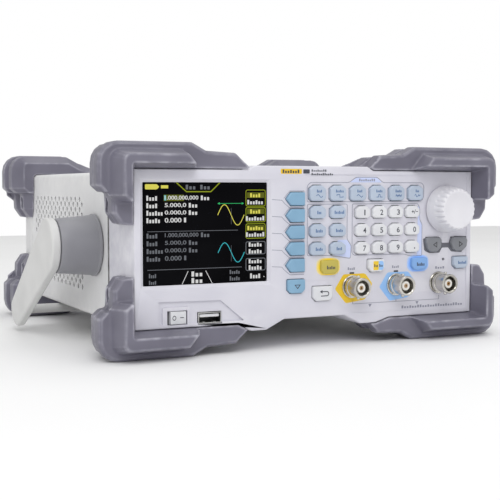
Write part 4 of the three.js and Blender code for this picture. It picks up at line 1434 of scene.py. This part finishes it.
def menu(bm, boxed):
    """The soft menu's rows of small words down the right edge."""
    for top, bottom, letters, lit in (
        (0.107, 0.149, 4, True), (0.175, 0.22, 6, False), (0.27, 0.312, 4, True), (0.338, 0.383, 7, False),
        (0.436, 0.478, 6, True), (0.5, 0.545, 7, False), (0.602, 0.645, 5, False), (0.669, 0.714, 5, False),
        (0.77, 0.813, 5, False), (0.831, 0.879, 5, False), (0.915, 0.965, 4, False),
    ):
        if lit == boxed:
            shown_word(bm, 0.903 - letters * 0.0115, 0.903 + letters * 0.0115, top, bottom, letters)


def menu_box(bm, top, bottom):
    corners = softened([on_screen(0.822, bottom), on_screen(0.985, bottom), on_screen(0.985, top),
                        on_screen(0.822, top)], 1.1)
    strip(bm, corners, 0.4, UI_FRONT, UI_BACK, True)


def display():
    """The window and the picture behind it: two channels, each with its values and its wave."""
    bm = cad_copy("display")
    break_edges(bm, 0.15, 2)
    piece("display_window", bm, [GLASS], CASE, ["display"])

    def bright(bm):
        value_block(bm, 0.13, 0.0715)
        menu(bm, False)
        shown_line(bm, [(0.351, 0.868), (0.303, 0.995)], 0.32)
        shown_line(bm, [(0.491, 0.868), (0.544, 0.995)], 0.32)
        shown_word(bm, 0.378, 0.475, 0.872, 0.922, 3)
        shown_word(bm, 0.378, 0.475, 0.937, 0.988, 3)
        shown_plate(bm, [(0.974, 0.945), (0.968, 0.955), (0.980, 0.955)])

    def grey(bm):
        value_block(bm, 0.492, 0.074)
        shown_line(bm, [(0.035, 0.475), (0.756, 0.475)], 0.26)
        shown_line(bm, [(0.035, 0.845), (0.787, 0.845)], 0.3)
        shown_word(bm, 0.046, 0.106, 0.88, 0.922, 4)
        shown_word(bm, 0.046, 0.106, 0.946, 0.985, 4)
        shown_word(bm, 0.687, 0.775, 0.872, 0.912, 5)
        shown_word(bm, 0.687, 0.775, 0.935, 0.978, 5)
        shown_word(bm, 0.335, 0.42, 0.025, 0.07, 3)
        shown_word(bm, 0.45, 0.535, 0.025, 0.07, 3)
        for y in (0.256, 0.625):
            shown_line(bm, [(0.7, y), (0.7, y + 0.16)], 0.14)
        menu_box(bm, 0.595, 0.72)
        menu_box(bm, 0.763, 0.884)

    def olive(bm):
        shown_bar(bm, 0.162, 0.32, 0.121, 0.182)
        for top in (0.1, 0.262, 0.43):
            shown_bar(bm, 0.832, 0.976, top, top + 0.055)

    def lime(bm):
        shown_line(bm, [(0.262, 0.004), (0.34, 0.092), (0.535, 0.092), (0.607, 0.004)], 0.55)
        menu_box(bm, 0.076, 0.237)
        menu_box(bm, 0.25, 0.395)
        menu_box(bm, 0.415, 0.56)

    def yellow(bm):
        shown_wave(bm, 0.59, 0.323, 0.217, 0.102)
        menu(bm, True)
        shown_plate(bm, softened([
            (0.02, 0.07), (0.11, 0.07), (0.13, 0.045), (0.11, 0.02), (0.02, 0.02),
        ], 0.01))
        shown_bar(bm, 0.142, 0.198, 0.03, 0.06)

    def cyan(bm):
        shown_wave(bm, 0.592, 0.697, 0.217, 0.098)
        shown_bar(bm, 0.166, 0.181, 0.126, 0.176, 1)

    def green(bm):
        shown_line(bm, [(0.6, 0.209), (0.795, 0.209)], 0.26)
        shown_plate(bm, [(0.588, 0.209), (0.606, 0.221), (0.606, 0.197)])
        shown_plate(bm, [(0.805, 0.209), (0.787, 0.197), (0.787, 0.221)])

    for name, colour, glow, draw in (
        ("white", "#DADADA", 0.8, bright), ("grey", "#777A80", 0.6, grey), ("olive", "#5F6420", 0.8, olive),
        ("lime", "#8F9A22", 0.8, lime), ("yellow", "#D8D05A", 0.9, yellow), ("cyan", "#3FB4BE", 0.9, cyan),
        ("green", "#37B66A", 0.9, green),
    ):
        shown(f"picture_{name}", picture(f"Picture {name}", colour, glow), draw)


# --- studio ---------------------------------------------------------------------------------------

ROOM_LIGHT = 0.7
ROOM_SEEN = 1.0
FLOOR_HALF = 1.3


def floor():
    bm = bmesh.new()
    corners = rectangle(-FLOOR_HALF, FLOOR_HALF, -FLOOR_HALF, FLOOR_HALF)
    bm.faces.new([bm.verts.new((p.x, p.y, 0)) for p in corners])
    mesh = bpy.data.meshes.new("floor")
    bm.to_mesh(mesh)
    bm.free()
    sheet = bpy.data.objects.new("floor", mesh)
    finish, tree, shader = blank("Studio floor")
    here = own_coordinates(tree)
    mottle = spread(tree, noise(tree, 3, 3, here), 0.3, 0.7)
    tree.links.new(two_colours(tree, mottle, tint("#F6F6F6"), tint("#FAFAFA")), shader.inputs["Base Color"])
    shader.inputs["Roughness"].default_value = 0.9
    shader.inputs["Specular IOR Level"].default_value = 0.1
    mesh.materials.append(finish)
    scene.collection.objects.link(sheet)


def soft_box(name, place, size, power, warmth=(1.0, 1.0, 1.0)):
    lamp = bpy.data.lights.new(name, "AREA")
    lamp.shape = "RECTANGLE"
    lamp.size = size[0]
    lamp.size_y = size[1]
    lamp.energy = power
    lamp.color = warmth
    holder = bpy.data.objects.new(name, lamp)
    holder.location = place
    aim = Vector((0, 0, 0.05)) - Vector(place)
    holder.rotation_euler = aim.to_track_quat("-Z", "Y").to_euler()
    scene.collection.objects.link(holder)


def studio():
    """A pale floor, an even white room and two large soft boxes."""
    floor()
    soft_box("key_box", (-0.5, -1.1, 1.1), (0.9, 0.7), 7)
    soft_box("top_box", (0.3, -0.1, 1.4), (1.2, 0.9), 4)
    world = bpy.data.worlds.new("Room")
    world.use_nodes = True
    tree = world.node_tree
    room = tree.nodes["Background"]
    room.inputs["Color"].default_value = (1.0, 1.0, 1.0, 1.0)
    seen = tree.nodes.new("ShaderNodeLightPath").outputs["Is Camera Ray"]
    tree.links.new(spread(tree, seen, 0.0, 1.0, ROOM_LIGHT, ROOM_SEEN), room.inputs["Strength"])
    scene.world = world
    scene.view_settings.view_transform = "Standard"


def camera():
    data = bpy.data.cameras.new("view")
    data.lens = VIEW_LENS
    data.sensor_width = VIEW_SENSOR
    data.clip_start = 0.01
    holder = bpy.data.objects.new("view", data)
    holder.location = at(*VIEW_PLACE)
    holder.rotation_euler = Vector(VIEW_AIM).to_track_quat("-Z", "Y").to_euler()
    scene.collection.objects.link(holder)
    scene.camera = holder


def lamp_finish(name, rim, middle, node, reach, glow):
    """A backlit finish whose lamp sits behind a key."""
    x, z, _, _ = key_place(node)
    return backlit(name, rim, middle, tuple(at(x, 0, z)), tuple(r * MM for r in reach), glow)


YELLOW_KEY = lamp_finish("Lit yellow rubber", "#D0B62A", "#BDAE52", "output_1_key", (9, 9, 7), 0.04)
BLUE_KEY = lamp_finish("Lit blue rubber", "#6F9FE0", "#7FA9DE", "output_2_key", (9, 9, 7), 0.04)
YELLOW_GLOW = lamp_finish("Yellow light", "#D6D4CC", "#F2D21A", "output_1_key", (9.8, 9, 7), 0.1)
BLUE_GLOW = lamp_finish("Blue light", "#CCD4E4", "#84B4F8", "output_2_key", (9.8, 9, 7), 0.1)

camera()
front_moulding()
vented_cover()
rear_moulding()
inlet()
fan()
inside_boards()
case_screws()
bumpers()
waveform_keys()
task_keys()
number_keys()
menu_keys()
output_keys()
arrow_keys()
dial()
rocker()
sockets()
serial_socket()
hubs()
handle()
group_frames()
socket_surrounds()
lit_patches()
panel_lines()
arrow_well()
display()
studio()
